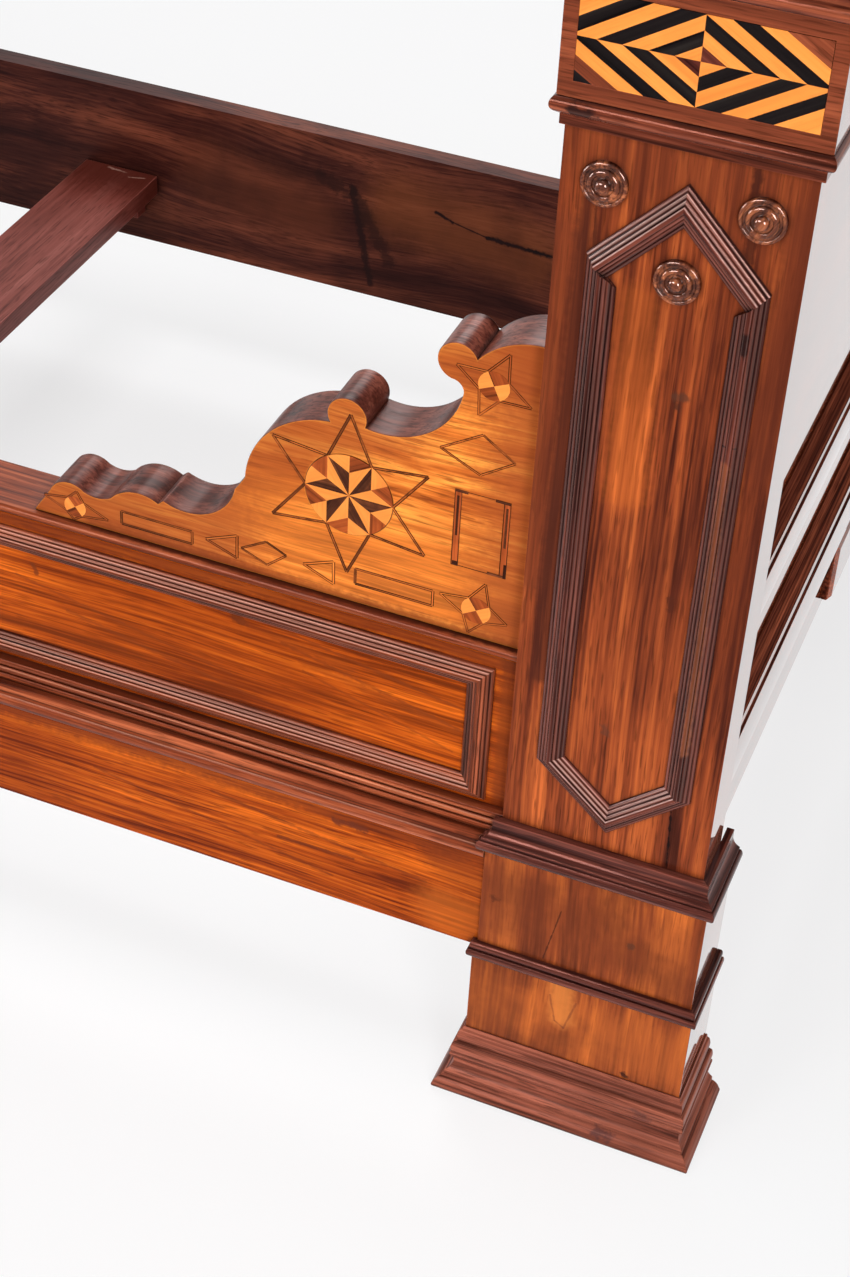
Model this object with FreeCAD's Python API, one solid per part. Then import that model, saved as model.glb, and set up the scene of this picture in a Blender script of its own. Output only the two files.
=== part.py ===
"""A parquetry-inlaid wooden bed: four pilaster posts, two side rails, two ends and three loose slats.

Millimetres, +Z up. X runs along the bed with the foot at +X, and the show side is at -Y.
The origin is on the floor under the middle of the bed.
"""
import FreeCAD, Part
import os
from collections import namedtuple

# The bed as a whole
clear_length = 1788.0
clear_width = 920.0

# Posts
post_width = 180.0
post_depth = 70.0
shaft_bottom = 333.0
shaft_length = 653.0
necking_height = 22.0
frieze_height = 90.0
cornice_height = 32.0

# Plinth under each shaft
base_height = 73.0
base_projection = 36.0
lower_block_proud = 13.5
upper_block_proud = 10.3
plinth_cap_height = 31.0
plinth_cap_proud = 17.3
casing_lap = 10.5
mid_moulding_height = 16.0
mid_moulding_drop = 7.0
mid_moulding_proud = 18.0

# Necking, frieze, cornice and cap
necking_fillet = 3.4
necking_proud = 10.0
frieze_proud = 6.3
cornice_proud = 24.0
cap_thickness = 20.0
cap_overhang = 28.0
cap_round = 6.0
marquetry_width = 170.0
marquetry_height = 65.0
marquetry_thickness = 2.0

# Show-side rail
rail_bottom = 177.0
near_rail_height = 327.0
rail_thickness = 28.0
front_board_thickness = 30.0
skirt_height = 112.0
skirt_thickness = 20.0
ovolo_height = 24.0
ovolo_thickness = 26.0
reeds_height = 19.0
reeds_thickness = 14.0
rail_cap_thickness = 8.0
rail_nose = 2.0
panel_frame_side_gap = 21.0
panel_frame_top_gap = 13.0
panel_frame_bottom_gap = 4.0

# Reeded moulding of the rail panel and the post hexagon
bolection_width = 23.5
bolection_height = 9.0
bolection_foot = 1.3
ridge_width = 4.5
ridge_rise = 2.4
flank_reeds = 3
reed_swell = 0.6

# Hexagon and bosses on the show posts
hexagon_width = 133.5
chevron_width = 134.5
hexagon_offset = 2.0
hexagon_top_gap = 24.0
hexagon_rise = 69.0
hexagon_bottom_gap = 20.0
hexagon_drop = 60.0
boss_radius = 17.3
boss_height = 9.0
boss_flat = 0.8
boss_spread = 56.5
boss_offset = -1.0
boss_top_gap = 38.2
boss_below_peak = 76.0

# Shaped brackets on the show rail, each with a round star inlay
bracket_length = 454.0
bracket_height = 290.0
bracket_thickness = 48.0
bracket_setback = 4.0
star_radius = 38.5
star_inset = 158.8
star_rise = 107.5
star_thickness = 1.5
glue_line = 0.05

# Wall-side rail
far_rail_drop = 10.0
far_rail_height = 208.0

# Rail tenons and pegs
tenon_length = 30.0
tenon_thickness = 16.0
tenon_shoulder = 25.0
tenon_clearance = 0.5
peg_radius = 6.0
peg_length = 34.0
peg_clearance = 0.3

# Slats and their cleats
slat_width = 102.0
slat_thickness = 26.0
slat_rise = 97.0
slat_end_clearance = 1.0
cleat_width = 64.0
cleat_depth = 22.0
cleat_height = 30.0

# End boards, housed in a rebate of each post
end_drop = 34.0
end_panel_thickness = 24.0
end_recess = 12.0
rebate_depth = 19.0
rebate_clearance = 0.5
bar_proud = 11.0
lower_bar_rise = 93.0
lower_bar_height = 105.0
bar_spacing = 74.0
upper_bar_height = 79.0
tablet_width = 180.0
tablet_height = 66.0
tablet_proud = 10.0
tablet_chamfer = 4.0

# Levels and faces worked out from the sizes above
shaft_top = shaft_bottom + shaft_length
frieze_bottom = shaft_top + necking_height
cornice_bottom = frieze_bottom + frieze_height
post_top = cornice_bottom + cornice_height
cap_top = post_top + cap_thickness
plinth_cap_bottom = shaft_bottom - plinth_cap_height
casing_top = plinth_cap_bottom + casing_lap
mid_moulding_bottom = rail_bottom - mid_moulding_drop
rail_top = rail_bottom + near_rail_height
board_top = rail_top - rail_cap_thickness
x_in = clear_length / 2
x_out = x_in + post_width
y_back = -clear_width / 2
y_front = y_back - post_depth
rail_outer = y_back - rail_thickness
front_board_face = rail_outer - front_board_thickness
rebate_edge = y_back - rebate_depth
panel_face = x_out - end_recess
panel_back = panel_face - end_panel_thickness
skirt_top = rail_bottom + skirt_height
ovolo_top = skirt_top + ovolo_height
reeds_top = ovolo_top + reeds_height
post_middle = x_in + post_width / 2
bracket_back = y_back - bracket_setback
bracket_face = bracket_back - bracket_thickness
hexagon_centre = post_middle + hexagon_offset
hexagon_peak = shaft_top - hexagon_top_gap
far_rail_bottom = rail_bottom - far_rail_drop
far_rail_top = far_rail_bottom + far_rail_height
slat_top = far_rail_bottom + slat_rise
slat_bottom = slat_top - slat_thickness
end_bottom = shaft_bottom - end_drop
lower_bar_bottom = end_bottom + lower_bar_rise
upper_bar_bottom = lower_bar_bottom + lower_bar_height + bar_spacing

V = FreeCAD.Vector
Bow = namedtuple("Bow", "through to")


# Basic shapes

def block(x0, x1, y0, y1, z0, z1):
    return Part.makeBox(x1 - x0, y1 - y0, z1 - z0, V(x0, y0, z0))


def outline(points, place):
    """Closed wire through corners and three-point bows, each given as (a, b) and set out by place."""
    edges = []
    here = points[0]
    for step in list(points[1:]) + [points[0]]:
        if isinstance(step, Bow):
            edges.append(Part.Arc(place(here), place(step.through), place(step.to)).toShape())
            here = step.to
        elif step != here:
            edges.append(Part.LineSegment(place(here), place(step)).toShape())
            here = step
    return Part.Wire(edges)


def mirrored(shape, flip_x, flip_y):
    if flip_x:
        shape = shape.mirror(V(0, 0, 0), V(1, 0, 0))
    if flip_y:
        shape = shape.mirror(V(0, 0, 0), V(0, 1, 0))
    return shape


def save(name, *solids):
    shape = solids[0] if len(solids) == 1 else Part.makeCompound(list(solids))
    shape.exportStep("parts/" + name + ".step")


# Mouldings: a profile of (offset, height) run along a plan path and mitred at its corners

def corner_lean(before, after):
    """Plan direction of the mitre between two sides, scaled to reach one unit past each."""
    if before is None or after is None:
        return before or after
    return (before + after) * (1 / (1 + before.dot(after)))


def moulding(path, profile, closed=False, inward=False):
    """One solid per straight of the path; offsets go to the right of travel, or left if inward."""
    points = [V(x, y, 0) for x, y in path]
    ends = points[1:] + ([points[0]] if closed else [])
    runs = list(zip(points, ends))
    turn = -1 if inward else 1
    ways = [(q - p).normalize() for p, q in runs]
    normals = [V(w.y, -w.x, 0) * turn for w in ways]
    sticks = []
    for i, (p, q) in enumerate(runs):
        before = normals[i - 1] if closed or i > 0 else None
        after = normals[(i + 1) % len(runs)] if closed or i < len(runs) - 1 else None
        first = corner_lean(before, normals[i])
        last = corner_lean(normals[i], after)
        flat = outline(profile, lambda s: V(s[0], 0, s[1])).BoundBox
        spare = 2 * flat.XMax
        start = p - ways[i] * spare
        section = Part.Face(outline(profile, lambda s: start + normals[i] * s[0] + V(0, 0, s[1])))
        stick = section.extrude(ways[i] * ((q - p).Length + 2 * spare))
        reach = flat.XMax + 1
        plan = [p, q, q + last * reach, p + first * reach, p]
        wedge = Part.Face(Part.makePolygon(plan)).extrude(V(0, 0, flat.ZLength + 2))
        wedge.translate(V(0, 0, flat.ZMin - 1))
        sticks.extend(stick.common(wedge).Solids)
    return sticks


def around_post(profile, inner_run=post_depth):
    """Moulding round the inner side, the front and the outer end of the near foot post."""
    path = [(x_in, y_back), (x_in, y_front), (x_out, y_front), (x_out, y_back)]
    inner, front, outer = moulding(path, profile)
    if inner_run < post_depth:
        keep = block(x_in - post_width, x_in, y_front - post_depth, y_front + inner_run, -1, post_top + 1)
        inner = inner.common(keep).Solids[0]
    return [inner, front, outer]


def on_front(shape, y):
    """Stand a plan drawing up on a face that looks to -Y."""
    turned = shape.copy()
    turned.rotate(V(0, 0, 0), V(1, 0, 0), 90)
    turned.translate(V(0, y, 0))
    return turned


def bolection():
    """Symmetric section: a reeded flank up each side and a bead along the ridge."""
    flank = (bolection_width - ridge_width) / 2
    shoulder = bolection_height - ridge_rise
    reed = V(flank / flank_reeds, (shoulder - bolection_foot) / flank_reeds, 0)
    swell = V(-reed.y, reed.x, 0).normalize() * reed_swell
    low = V(0, bolection_foot, 0)
    joints = [low + reed * i for i in range(flank_reeds + 1)]
    crowns = [low + reed * (i + 0.5) + swell for i in range(flank_reeds)]
    left = [Bow((c.x, c.y), (j.x, j.y)) for c, j in zip(crowns, joints[1:])]
    right = [Bow((bolection_width - c.x, c.y), (bolection_width - j.x, j.y))
             for c, j in zip(reversed(crowns), reversed(joints[:-1]))]
    ridge = Bow((bolection_width / 2, bolection_height), (bolection_width - flank, shoulder))
    return [(0, 0), (0, bolection_foot)] + left + [ridge] + right + [(bolection_width, 0)]


# Profiles of the post mouldings, heights above the floor

def base_profile():
    """Plinth foot: a round nose and swelling, a fillet, a hollow under an arris, then two reeds."""

    def at(offset_share, height_share):
        span = base_projection - lower_block_proud
        return (lower_block_proud + offset_share * span, height_share * base_height)

    return [
        at(0, 0), at(0.94, 0),
        Bow(at(1, 0.04), at(0.94, 0.09)),
        Bow(at(0.81, 0.155), at(0.6, 0.19)),
        at(0.59, 0.25),
        Bow(at(0.32, 0.36), at(0.47, 0.52)),
        at(0.47, 0.56), at(0.39, 0.58),
        Bow(at(0.44, 0.665), at(0.38, 0.75)),
        at(0.22, 0.765),
        Bow(at(0.26, 0.85), at(0.19, 0.94)),
        at(0.1, 0.955), at(0.07, 1), at(0, 1),
    ]


def mid_profile():
    """Two reeds stepping back up the plinth, over the joint between its blocks."""
    z = mid_moulding_bottom
    h = mid_moulding_height
    low = lower_block_proud
    high = upper_block_proud
    out = mid_moulding_proud
    step = low + (out - low) * 0.35
    return [
        (low, z), (out - 1, z), Bow((out, z + h * 0.25), (out - 1, z + h * 0.5)),
        (step, z + h * 0.5), Bow((step + 0.8, z + h * 0.72), (step, z + h * 0.94)),
        (step - 1, z + h), (high, z + h), (high, rail_bottom), (low, rail_bottom),
    ]


def plinth_cap_profile():
    """Bead, cove and fillet that carry the eye from the plinth in to the shaft."""
    z = plinth_cap_bottom
    h = plinth_cap_height
    out = plinth_cap_proud
    seat = upper_block_proud
    fillet = out * 0.38
    cove = out * 0.8
    return [
        (seat, z), (out - 2, z), Bow((out, z + casing_lap / 2), (out - 2, casing_top)),
        (cove, casing_top), (cove, casing_top + h * 0.08),
        Bow((fillet + (cove - fillet) * 0.3, z + h * 0.54), (fillet, z + h * 0.78)),
        (fillet, z + h), (0, z + h), (0, casing_top), (seat, casing_top),
    ]


def necking_profile():
    """Flat fillet with a round astragal on it."""
    z = shaft_top
    h = necking_height
    half = h * 0.55 / 2
    top = z + h
    return [
        (0, z), (necking_fillet, z), (necking_fillet, z + h * 0.36),
        (necking_proud - half * 0.6, z + h * 0.45),
        Bow((necking_proud, top - half), (necking_proud - half * 0.6, top)),
        (0, top),
    ]


def cornice_profile():
    """Astragal, hollow and fillet under the cap."""
    z = cornice_bottom
    h = cornice_height
    bead = h * 0.36
    out = cornice_proud
    return [
        (0, z), (necking_proud - bead * 0.3, z),
        Bow((necking_proud, z + bead / 2), (necking_proud - bead * 0.3, z + bead)),
        (frieze_proud, z + bead + 1),
        Bow((frieze_proud + (out - frieze_proud) * 0.28, z + h * 0.72), (out, z + h * 0.86)),
        (out, z + h), (0, z + h),
    ]


def plinth_casing(inner_run):
    """Mitred boards round the post foot: a thicker lower block under a thinner upper one."""
    low = [(0, 0), (lower_block_proud, 0), (lower_block_proud, rail_bottom), (0, rail_bottom)]
    high = [(0, rail_bottom), (upper_block_proud, rail_bottom), (upper_block_proud, casing_top), (0, casing_top)]
    return around_post(low) + around_post(high, inner_run)


def frieze_casing():
    """Mitred boards round the post head, the front one let in for its marquetry."""
    top = cornice_bottom
    box = [(0, frieze_bottom), (frieze_proud, frieze_bottom), (frieze_proud, top), (0, top)]
    return around_post(box)


def marquetry_panel():
    z = frieze_bottom + frieze_height / 2
    face = y_front - frieze_proud
    half = marquetry_width / 2
    rise = marquetry_height / 2
    return block(post_middle - half, post_middle + half, face, face + marquetry_thickness, z - rise, z + rise)


# Posts

def rail_joint(outer_y, inner_y, bottom, top, clearance=0.0):
    """Tenon of a rail into the near foot post, grown by a clearance for its mortise."""
    middle = (outer_y + inner_y) / 2
    half = tenon_thickness / 2 + clearance
    return block(x_in - 1, x_in + tenon_length + clearance, middle - half, middle + half,
                 bottom + tenon_shoulder - clearance, top - tenon_shoulder + clearance)


def peg_levels(bottom, top):
    reach = top - bottom - 2 * tenon_shoulder
    return [bottom + tenon_shoulder + reach * share for share in (0.25, 0.75)]


def pegs(bottom, top, clearance=0.0):
    """Turned pegs driven from inside the bed through the post and the rail's tenon."""
    x = x_in + tenon_length / 2
    return [Part.makeCylinder(peg_radius + clearance, peg_length + clearance, V(x, y_back, z), V(0, -1, 0))
            for z in peg_levels(bottom, top)]


def post(bottom, top):
    """Pilaster plank with a rebate for the end board and a mortise for its rail."""
    plank = block(x_in, x_out, y_front, y_back, 0, post_top)
    rebate = block(panel_back, x_out + 1, rebate_edge, y_back + 1, end_bottom, post_top + 1)
    mortise = rail_joint(rail_outer, y_back, bottom, top, tenon_clearance)
    return plank.cut([rebate, mortise] + pegs(bottom, top, peg_clearance))


def hexagon():
    """Applied frame on a show post: a chevron with square ends, and sides that butt up to those ends."""
    side = hexagon_width / 2
    slope = chevron_width / 2
    top = hexagon_peak - hexagon_rise
    point = shaft_bottom + hexagon_bottom_gap
    low = point + hexagon_drop
    chevron = moulding([(-slope, top), (0, hexagon_peak), (slope, top)], bolection())
    frame = moulding([(side, hexagon_peak), (side, low), (0, point), (-side, low), (-side, hexagon_peak)], bolection())
    way = V(slope, hexagon_rise, 0).normalize() * hexagon_width
    across = V(-way.y, way.x, 0)
    end = V(-slope, top, -1)
    corners = [end - across, end + across, end + across + way, end - across + way, end - across]
    left_waste = Part.Face(Part.makePolygon(corners)).extrude(V(0, 0, bolection_height + 2))
    waste = {0: mirrored(left_waste, True, False), len(frame) - 1: left_waste}
    sticks = chevron + [stick.cut(waste[i]).Solids[0] if i in waste else stick for i, stick in enumerate(frame)]
    for stick in sticks:
        stick.translate(V(hexagon_centre, 0, 0))
    return [on_front(stick, y_front) for stick in sticks]


def boss():
    """Turned boss: a rounded rim, a hollow, a ring and a button with a small flat on top."""
    r = boss_radius
    h = boss_height
    section = outline([
        (0, 0), (r, 0), (r, h * 0.25), Bow((r * 0.94, h * 0.42), (r * 0.84, h * 0.42)),
        (r * 0.8, h * 0.34), (r * 0.7, h * 0.34), Bow((r * 0.6, h * 0.62), (r * 0.48, h * 0.6)),
        (r * 0.44, h * 0.5), (r * 0.32, h * 0.5), Bow((r * 0.24, h * 0.9), (boss_flat, h)), (0, h),
    ], lambda s: V(s[0], 0, s[1]))
    return Part.Face(section).revolve(V(0, 0, 0), V(0, 0, 1), 360)


def bosses():
    level = shaft_top - boss_top_gap
    middle = post_middle + boss_offset
    spots = [(middle - boss_spread, level), (middle + boss_spread, level),
             (hexagon_centre, hexagon_peak - boss_below_peak)]
    turned = []
    for x, z in spots:
        one = on_front(boss(), y_front)
        one.translate(V(x, 0, z))
        turned.append(one)
    return turned


# Shaped brackets

def scrolled_edge():
    """Waves, a swelling, a small scroll, a hollow and a second scroll, rising to a straight back."""

    def at(length_share, height_share):
        return (length_share * bracket_length, height_share * bracket_height)

    return [
        at(-1, 0), at(-0.963, 0.089),
        Bow(at(-0.927, 0.134), at(-0.89, 0.117)),
        Bow(at(-0.863, 0.108), at(-0.833, 0.122)),
        Bow(at(-0.773, 0.168), at(-0.733, 0.151)),
        at(-0.722, 0.167),
        Bow(at(-0.65, 0.155), at(-0.575, 0.282)),
        at(-0.555, 0.33),
        Bow(at(-0.513, 0.498), at(-0.39, 0.598)),
        Bow(at(-0.361, 0.686), at(-0.322, 0.608)),
        Bow(at(-0.222, 0.632), at(-0.148, 0.794)),
        Bow(at(-0.152, 0.821), at(-0.17, 0.835)),
        Bow(at(-0.189, 0.928), at(-0.126, 0.914)),
        Bow(at(-0.079, 0.976), at(0, 1)),
        at(0, 0),
    ]


def star(clearance=0.0):
    """Round veneer of the star, grown by a clearance for its pocket."""
    centre = V(x_in - star_inset, bracket_face, rail_top + star_rise)
    return Part.makeCylinder(star_radius + clearance, star_thickness, centre, V(0, 1, 0))


def bracket():
    wire = outline(scrolled_edge(), lambda s: V(x_in + s[0], bracket_back, rail_top + s[1]))
    return Part.Face(wire).extrude(V(0, -bracket_thickness, 0)).cut(star(glue_line))


# Rails

def rail_board(outer_y, inner_y, bottom, top):
    """Plain rail board with a tenon at each end, bored for its pegs."""
    middle = block(-x_in, x_in, outer_y, inner_y, bottom, top)
    tenon = rail_joint(outer_y, inner_y, bottom, top)
    board = middle.fuse([tenon, mirrored(tenon, True, False)]).removeSplitter()
    bores = pegs(bottom, top, peg_clearance)
    return board.cut(bores + [mirrored(bore, True, False) for bore in bores]).Solids[0]


def along_rail(points, end=x_in):
    """Straight moulding along the rail from points of (y, z)."""
    wire = outline(points, lambda s: V(-end, s[0], s[1]))
    return Part.Face(wire).extrude(V(2 * end, 0, 0))


def ovolo():
    """Rounded capping on the skirt board."""
    z = skirt_top
    h = ovolo_height
    back = front_board_face
    out = back - ovolo_thickness
    return along_rail([
        (back, z), (out + 5, z), Bow((out, z + h * 0.3), (out + 2, z + h * 0.62)),
        (out + 5, z + h * 0.68), (out + 7, z + h), (back, z + h),
    ], x_in - upper_block_proud)


def rail_reeds():
    """Three reeds under the panel."""
    z = ovolo_top
    back = front_board_face
    out = back - reeds_thickness
    reed = reeds_height / 3
    points = [(back, z)]
    for i in range(3):
        step = out + 2 * i
        points.append((step + 1, z + i * reed))
        points.append(Bow((step, z + (i + 0.5) * reed), (step + 1, z + (i + 1) * reed)))
    points.append((back, z + reeds_height))
    return along_rail(points)


def rail_cap():
    """Top board of the rail with a round nose."""
    nose = front_board_face - rail_nose
    half = rail_cap_thickness / 2
    return along_rail([
        (y_back, board_top), (nose + half, board_top),
        Bow((nose, board_top + half), (nose + half, rail_top)), (y_back, rail_top),
    ])


def rail_panel_frame():
    half = x_in - panel_frame_side_gap
    low = reeds_top + panel_frame_bottom_gap
    high = board_top - panel_frame_top_gap
    path = [(-half, low), (half, low), (half, high), (-half, high)]
    return [on_front(stick, front_board_face) for stick in moulding(path, bolection(), True, True)]


# Ends

def end_panel():
    half = clear_width / 2 + rebate_depth - rebate_clearance
    return block(panel_back, panel_face, -half, half, end_bottom, shaft_top)


def end_frieze():
    """Top rail of an end: housed in the rebates and flush with the post friezes between them."""
    half = clear_width / 2 + rebate_depth - rebate_clearance
    housed = block(panel_back, x_out, -half, half, shaft_top, post_top)
    face = block(x_out, x_out + frieze_proud, y_back, -y_back, frieze_bottom, cornice_bottom)
    return housed.fuse(face).removeSplitter().Solids[0]


def across_end(x, profile, half):
    return moulding([(x, -half), (x, half)], profile)[0]


def cross_bar(bottom, height):
    """Broad bar of the foot panel: an upright fascia with a swelling top."""
    half = clear_width / 2 + rebate_depth - rebate_clearance
    top = bottom + height
    profile = [(0, bottom), (bar_proud - 3, bottom), (bar_proud, bottom + 5), (bar_proud, bottom + height * 0.5),
               (bar_proud - 2, bottom + height * 0.54),
               Bow((bar_proud * 0.62, bottom + height * 0.8), (2, top - 3)), (2, top), (0, top)]
    return across_end(panel_face, profile, half)


def tablet():
    """Raised block in the middle of the foot panel's lower edge."""
    middle = (end_bottom + lower_bar_bottom) / 2
    half = tablet_width / 2
    rise = tablet_height / 2
    plate = block(panel_face, panel_face + tablet_proud, -half, half, middle - rise, middle + rise)
    front = [e for e in plate.Edges if e.BoundBox.XMin > panel_face + tablet_proud / 2]
    return plate.makeChamfer(tablet_chamfer, front)


def cap_board():
    """Board over a whole end, rounded along its edges."""
    board = block(x_in - cap_overhang, x_out + cap_overhang, y_front - cap_overhang, -y_front + cap_overhang,
                  post_top, cap_top)
    level = [e for e in board.Edges if e.BoundBox.ZLength < cap_thickness / 2]
    return board.makeFillet(min(cap_round, cap_thickness * 0.45), level)


# Slats

def slat(x):
    half = clear_width / 2 - slat_end_clearance
    return block(x - slat_width / 2, x + slat_width / 2, -half, half, slat_bottom, slat_top)


def cleats(x):
    """Blocks under both ends of a slat."""
    half = cleat_width / 2
    near = block(x - half, x + half, y_back, y_back + cleat_depth, slat_bottom - cleat_height, slat_bottom)
    return [near, mirrored(near, False, True)]


def post_pieces(bottom, top, casing_run, trim_run):
    """Plank, casings and mouldings of one post, as they stand at the near foot corner."""
    return {
        "post": [post(bottom, top)],
        "plinth_casing": plinth_casing(casing_run),
        "base_moulding": around_post(base_profile()),
        "plinth_mouldings": around_post(mid_profile(), trim_run) + around_post(plinth_cap_profile(), trim_run),
        "frieze_casing": frieze_casing(),
        "frieze_mouldings": around_post(necking_profile()) + around_post(cornice_profile()),
    }


def near_post():
    """Show-side post: let in for its marquetry, with the applied hexagon, bosses and bracket."""
    pieces = post_pieces(rail_bottom, board_top, front_board_face - y_front, 0.0)
    panel = marquetry_panel()
    pieces["frieze_casing"] = [board.cut(panel) for board in pieces["frieze_casing"]]
    pieces["marquetry"] = [panel]
    pieces["hexagon_moulding"] = hexagon()
    pieces["bosses"] = bosses()
    pieces["bracket"] = [bracket()]
    pieces["star_inlay"] = [star()]
    return pieces


def far_post():
    """Wall-side post: plain, with its casing notched round the lower rail."""
    run = rail_outer - y_front
    pieces = post_pieces(far_rail_bottom, far_rail_top, run, run)
    notch = block(0, x_in, rail_outer, y_back, far_rail_bottom, far_rail_top)
    pieces["plinth_casing"] = [board.cut(notch) for board in pieces["plinth_casing"]]
    return pieces


def end_pieces():
    """Board, top rail, mouldings, tablet and cap of the foot end."""
    half = clear_width / 2
    return {
        "panel": [end_panel()],
        "frieze_rail": [end_frieze()],
        "cross_mouldings": [
            cross_bar(lower_bar_bottom, lower_bar_height), cross_bar(upper_bar_bottom, upper_bar_height),
            across_end(x_out, necking_profile(), half), across_end(x_out, cornice_profile(), half)],
        "tablet": [tablet()],
        "cap": [cap_board()],
    }


def save_ends():
    """Both ends, the head one a mirror image of the foot."""
    near = near_post()
    groups = [("near_", near, False), ("far_", far_post(), True), ("", end_pieces(), False)]
    for end, flip_x in (("foot_", False), ("head_", True)):
        for side, pieces, flip_y in groups:
            for piece, solids in pieces.items():
                save(end + side + piece, *[mirrored(solid, flip_x, flip_y) for solid in solids])
    plinth = near["plinth_casing"] + near["plinth_mouldings"]
    return plinth + [mirrored(solid, True, False) for solid in plinth]


def save_rails(plinths):
    """Both side rails; the show rail's applied pieces are scribed to the post plinths."""
    casing_end = x_in - upper_block_proud
    skirt = block(-casing_end, casing_end, front_board_face - skirt_thickness, front_board_face,
                  rail_bottom, skirt_top)
    save("near_rail_inner_board", rail_board(rail_outer, y_back, rail_bottom, board_top))
    save("near_rail_front_board", block(-x_in, x_in, front_board_face, rail_outer, rail_bottom, board_top))
    for name, stick in (("skirt", skirt), ("ovolo", ovolo()), ("reeds", rail_reeds())):
        save("near_rail_" + name, stick.cut(plinths).Solids[0])
    save("near_rail_panel_frame", *rail_panel_frame())
    save("near_rail_cap", rail_cap())
    save("far_rail", mirrored(rail_board(rail_outer, y_back, far_rail_bottom, far_rail_top), False, True))
    foot_pegs = pegs(rail_bottom, board_top)
    foot_pegs += [mirrored(peg, False, True) for peg in pegs(far_rail_bottom, far_rail_top)]
    save("rail_pegs", *(foot_pegs + [mirrored(peg, True, False) for peg in foot_pegs]))


def save_slats():
    """A slat between each pair of posts and one at mid-length, on cleats."""
    end_slat = x_in + (panel_back - x_in) / 2
    places = {"head": -end_slat, "middle": 0.0, "foot": end_slat}
    for place, x in places.items():
        save("slat_" + place, slat(x))
    save("slat_cleats", *[cleat for x in places.values() for cleat in cleats(x)])


def main():
    os.makedirs("parts", exist_ok=True)
    save_rails(save_ends())
    save_slats()


main()
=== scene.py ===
# %% [markdown]
# # An inlaid walnut bed
# The bed is four pilaster posts joined by two side rails and two board ends, with three loose slats.
# The imported construction model already holds every piece in its place, so this lesson is about
# finish: eased edges, walnut figure, French polish, reeded mouldings and parquetry inlay.

import math

import bmesh
import bpy
from mathutils import Matrix, Vector


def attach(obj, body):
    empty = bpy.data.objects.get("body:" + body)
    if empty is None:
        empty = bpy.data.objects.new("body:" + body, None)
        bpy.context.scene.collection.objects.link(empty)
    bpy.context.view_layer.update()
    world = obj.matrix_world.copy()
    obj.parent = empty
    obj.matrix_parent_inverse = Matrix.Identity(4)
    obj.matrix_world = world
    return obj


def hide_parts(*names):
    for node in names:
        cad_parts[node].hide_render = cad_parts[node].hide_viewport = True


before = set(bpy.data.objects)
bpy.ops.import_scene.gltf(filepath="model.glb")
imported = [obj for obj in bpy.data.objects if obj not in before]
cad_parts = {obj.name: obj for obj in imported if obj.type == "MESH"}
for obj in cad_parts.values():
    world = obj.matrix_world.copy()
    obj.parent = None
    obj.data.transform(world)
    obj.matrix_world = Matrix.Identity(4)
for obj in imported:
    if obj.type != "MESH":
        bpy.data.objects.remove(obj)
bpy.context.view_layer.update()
scene = bpy.context.scene

# %% [markdown]
# ## The camera
# The photograph looks down on the near foot corner from the right, and the camera was held a little
# askew. A camera points along its own -Z, so three turns aim it: the roll about its own axis, the
# tilt up from straight down, and the swing round the upright axis. The lens comes from the focal
# length in pixels, measured on the picture's longer side.

# %% Camera
FRAME_HEIGHT_PX = 1277
FOCAL_PX = 2329.2
SENSOR_MM = 36.0
CAMERA_PLACE = Vector((1.3222, -1.9143, 1.7158))
SWING, ELEVATION, ROLL = (math.radians(a) for a in (20.158, 39.426, 3.24))

camera_data = bpy.data.cameras.new("camera")
camera_data.sensor_width = SENSOR_MM
camera_data.lens = SENSOR_MM * FOCAL_PX / FRAME_HEIGHT_PX
camera = bpy.data.objects.new("camera", camera_data)
scene.collection.objects.link(camera)
tilt = Matrix.Rotation(math.pi / 2 - ELEVATION, 4, "X") @ Matrix.Rotation(ROLL, 4, "Z")
camera.matrix_world = Matrix.Translation(CAMERA_PLACE) @ Matrix.Rotation(SWING, 4, "Z") @ tilt
scene.camera = camera
print("lens", round(camera_data.lens, 2), "mm")

# %% [markdown]
# ## A small helper for nodes
# Materials below are node trees. One helper adds a node, sets its properties and feeds its inputs,
# each from a plain value or from another node's socket, so a tree reads like a list of steps.

# %% Node helpers
def node(tree, kind, feeds=None, **settings):
    """Add a shader node, set its properties and feed its inputs from values or sockets."""
    made = tree.nodes.new("ShaderNode" + kind)
    for name, value in settings.items():
        setattr(made, name, value)
    for socket, value in (feeds or {}).items():
        if isinstance(value, bpy.types.NodeSocket):
            tree.links.new(value, made.inputs[socket])
        else:
            made.inputs[socket].default_value = value
    return made


def sums(tree, operation, *values):
    """Output of a Math node."""
    return node(tree, "Math", dict(enumerate(values)), operation=operation).outputs[0]


def vectors(tree, operation, *values):
    """Vector output of a Vector Math node."""
    return node(tree, "VectorMath", dict(enumerate(values)), operation=operation).outputs[0]


def scaled(tree, vector, share):
    """A vector times a number."""
    return node(tree, "VectorMath", {0: vector, "Scale": share}, operation="SCALE").outputs[0]


def stretched_noise(tree, vector, frequency, detail=2.0):
    """Noise with its own frequency on each axis, per metre."""
    place = vectors(tree, "MULTIPLY", vector, frequency)
    return node(tree, "TexNoise", {"Vector": place, "Scale": 1.0, "Detail": detail}).outputs[0]


def stepped(tree, value, low, high, start=0.0, end=1.0):
    """Smooth step of a value from low to high."""
    feeds = {0: value, 1: low, 2: high, 3: start, 4: end}
    return node(tree, "MapRange", feeds, interpolation_type="SMOOTHSTEP").outputs[0]


def carried(tree, name, output="Fac"):
    """An attribute that a piece carries on its points."""
    return node(tree, "Attribute", attribute_name=name).outputs[output]


def new_material(name):
    material = bpy.data.materials.new(name)
    material.use_nodes = True
    material.node_tree.nodes.clear()
    return material


def output(tree, shader):
    node(tree, "OutputMaterial", {"Surface": shader})


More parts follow.
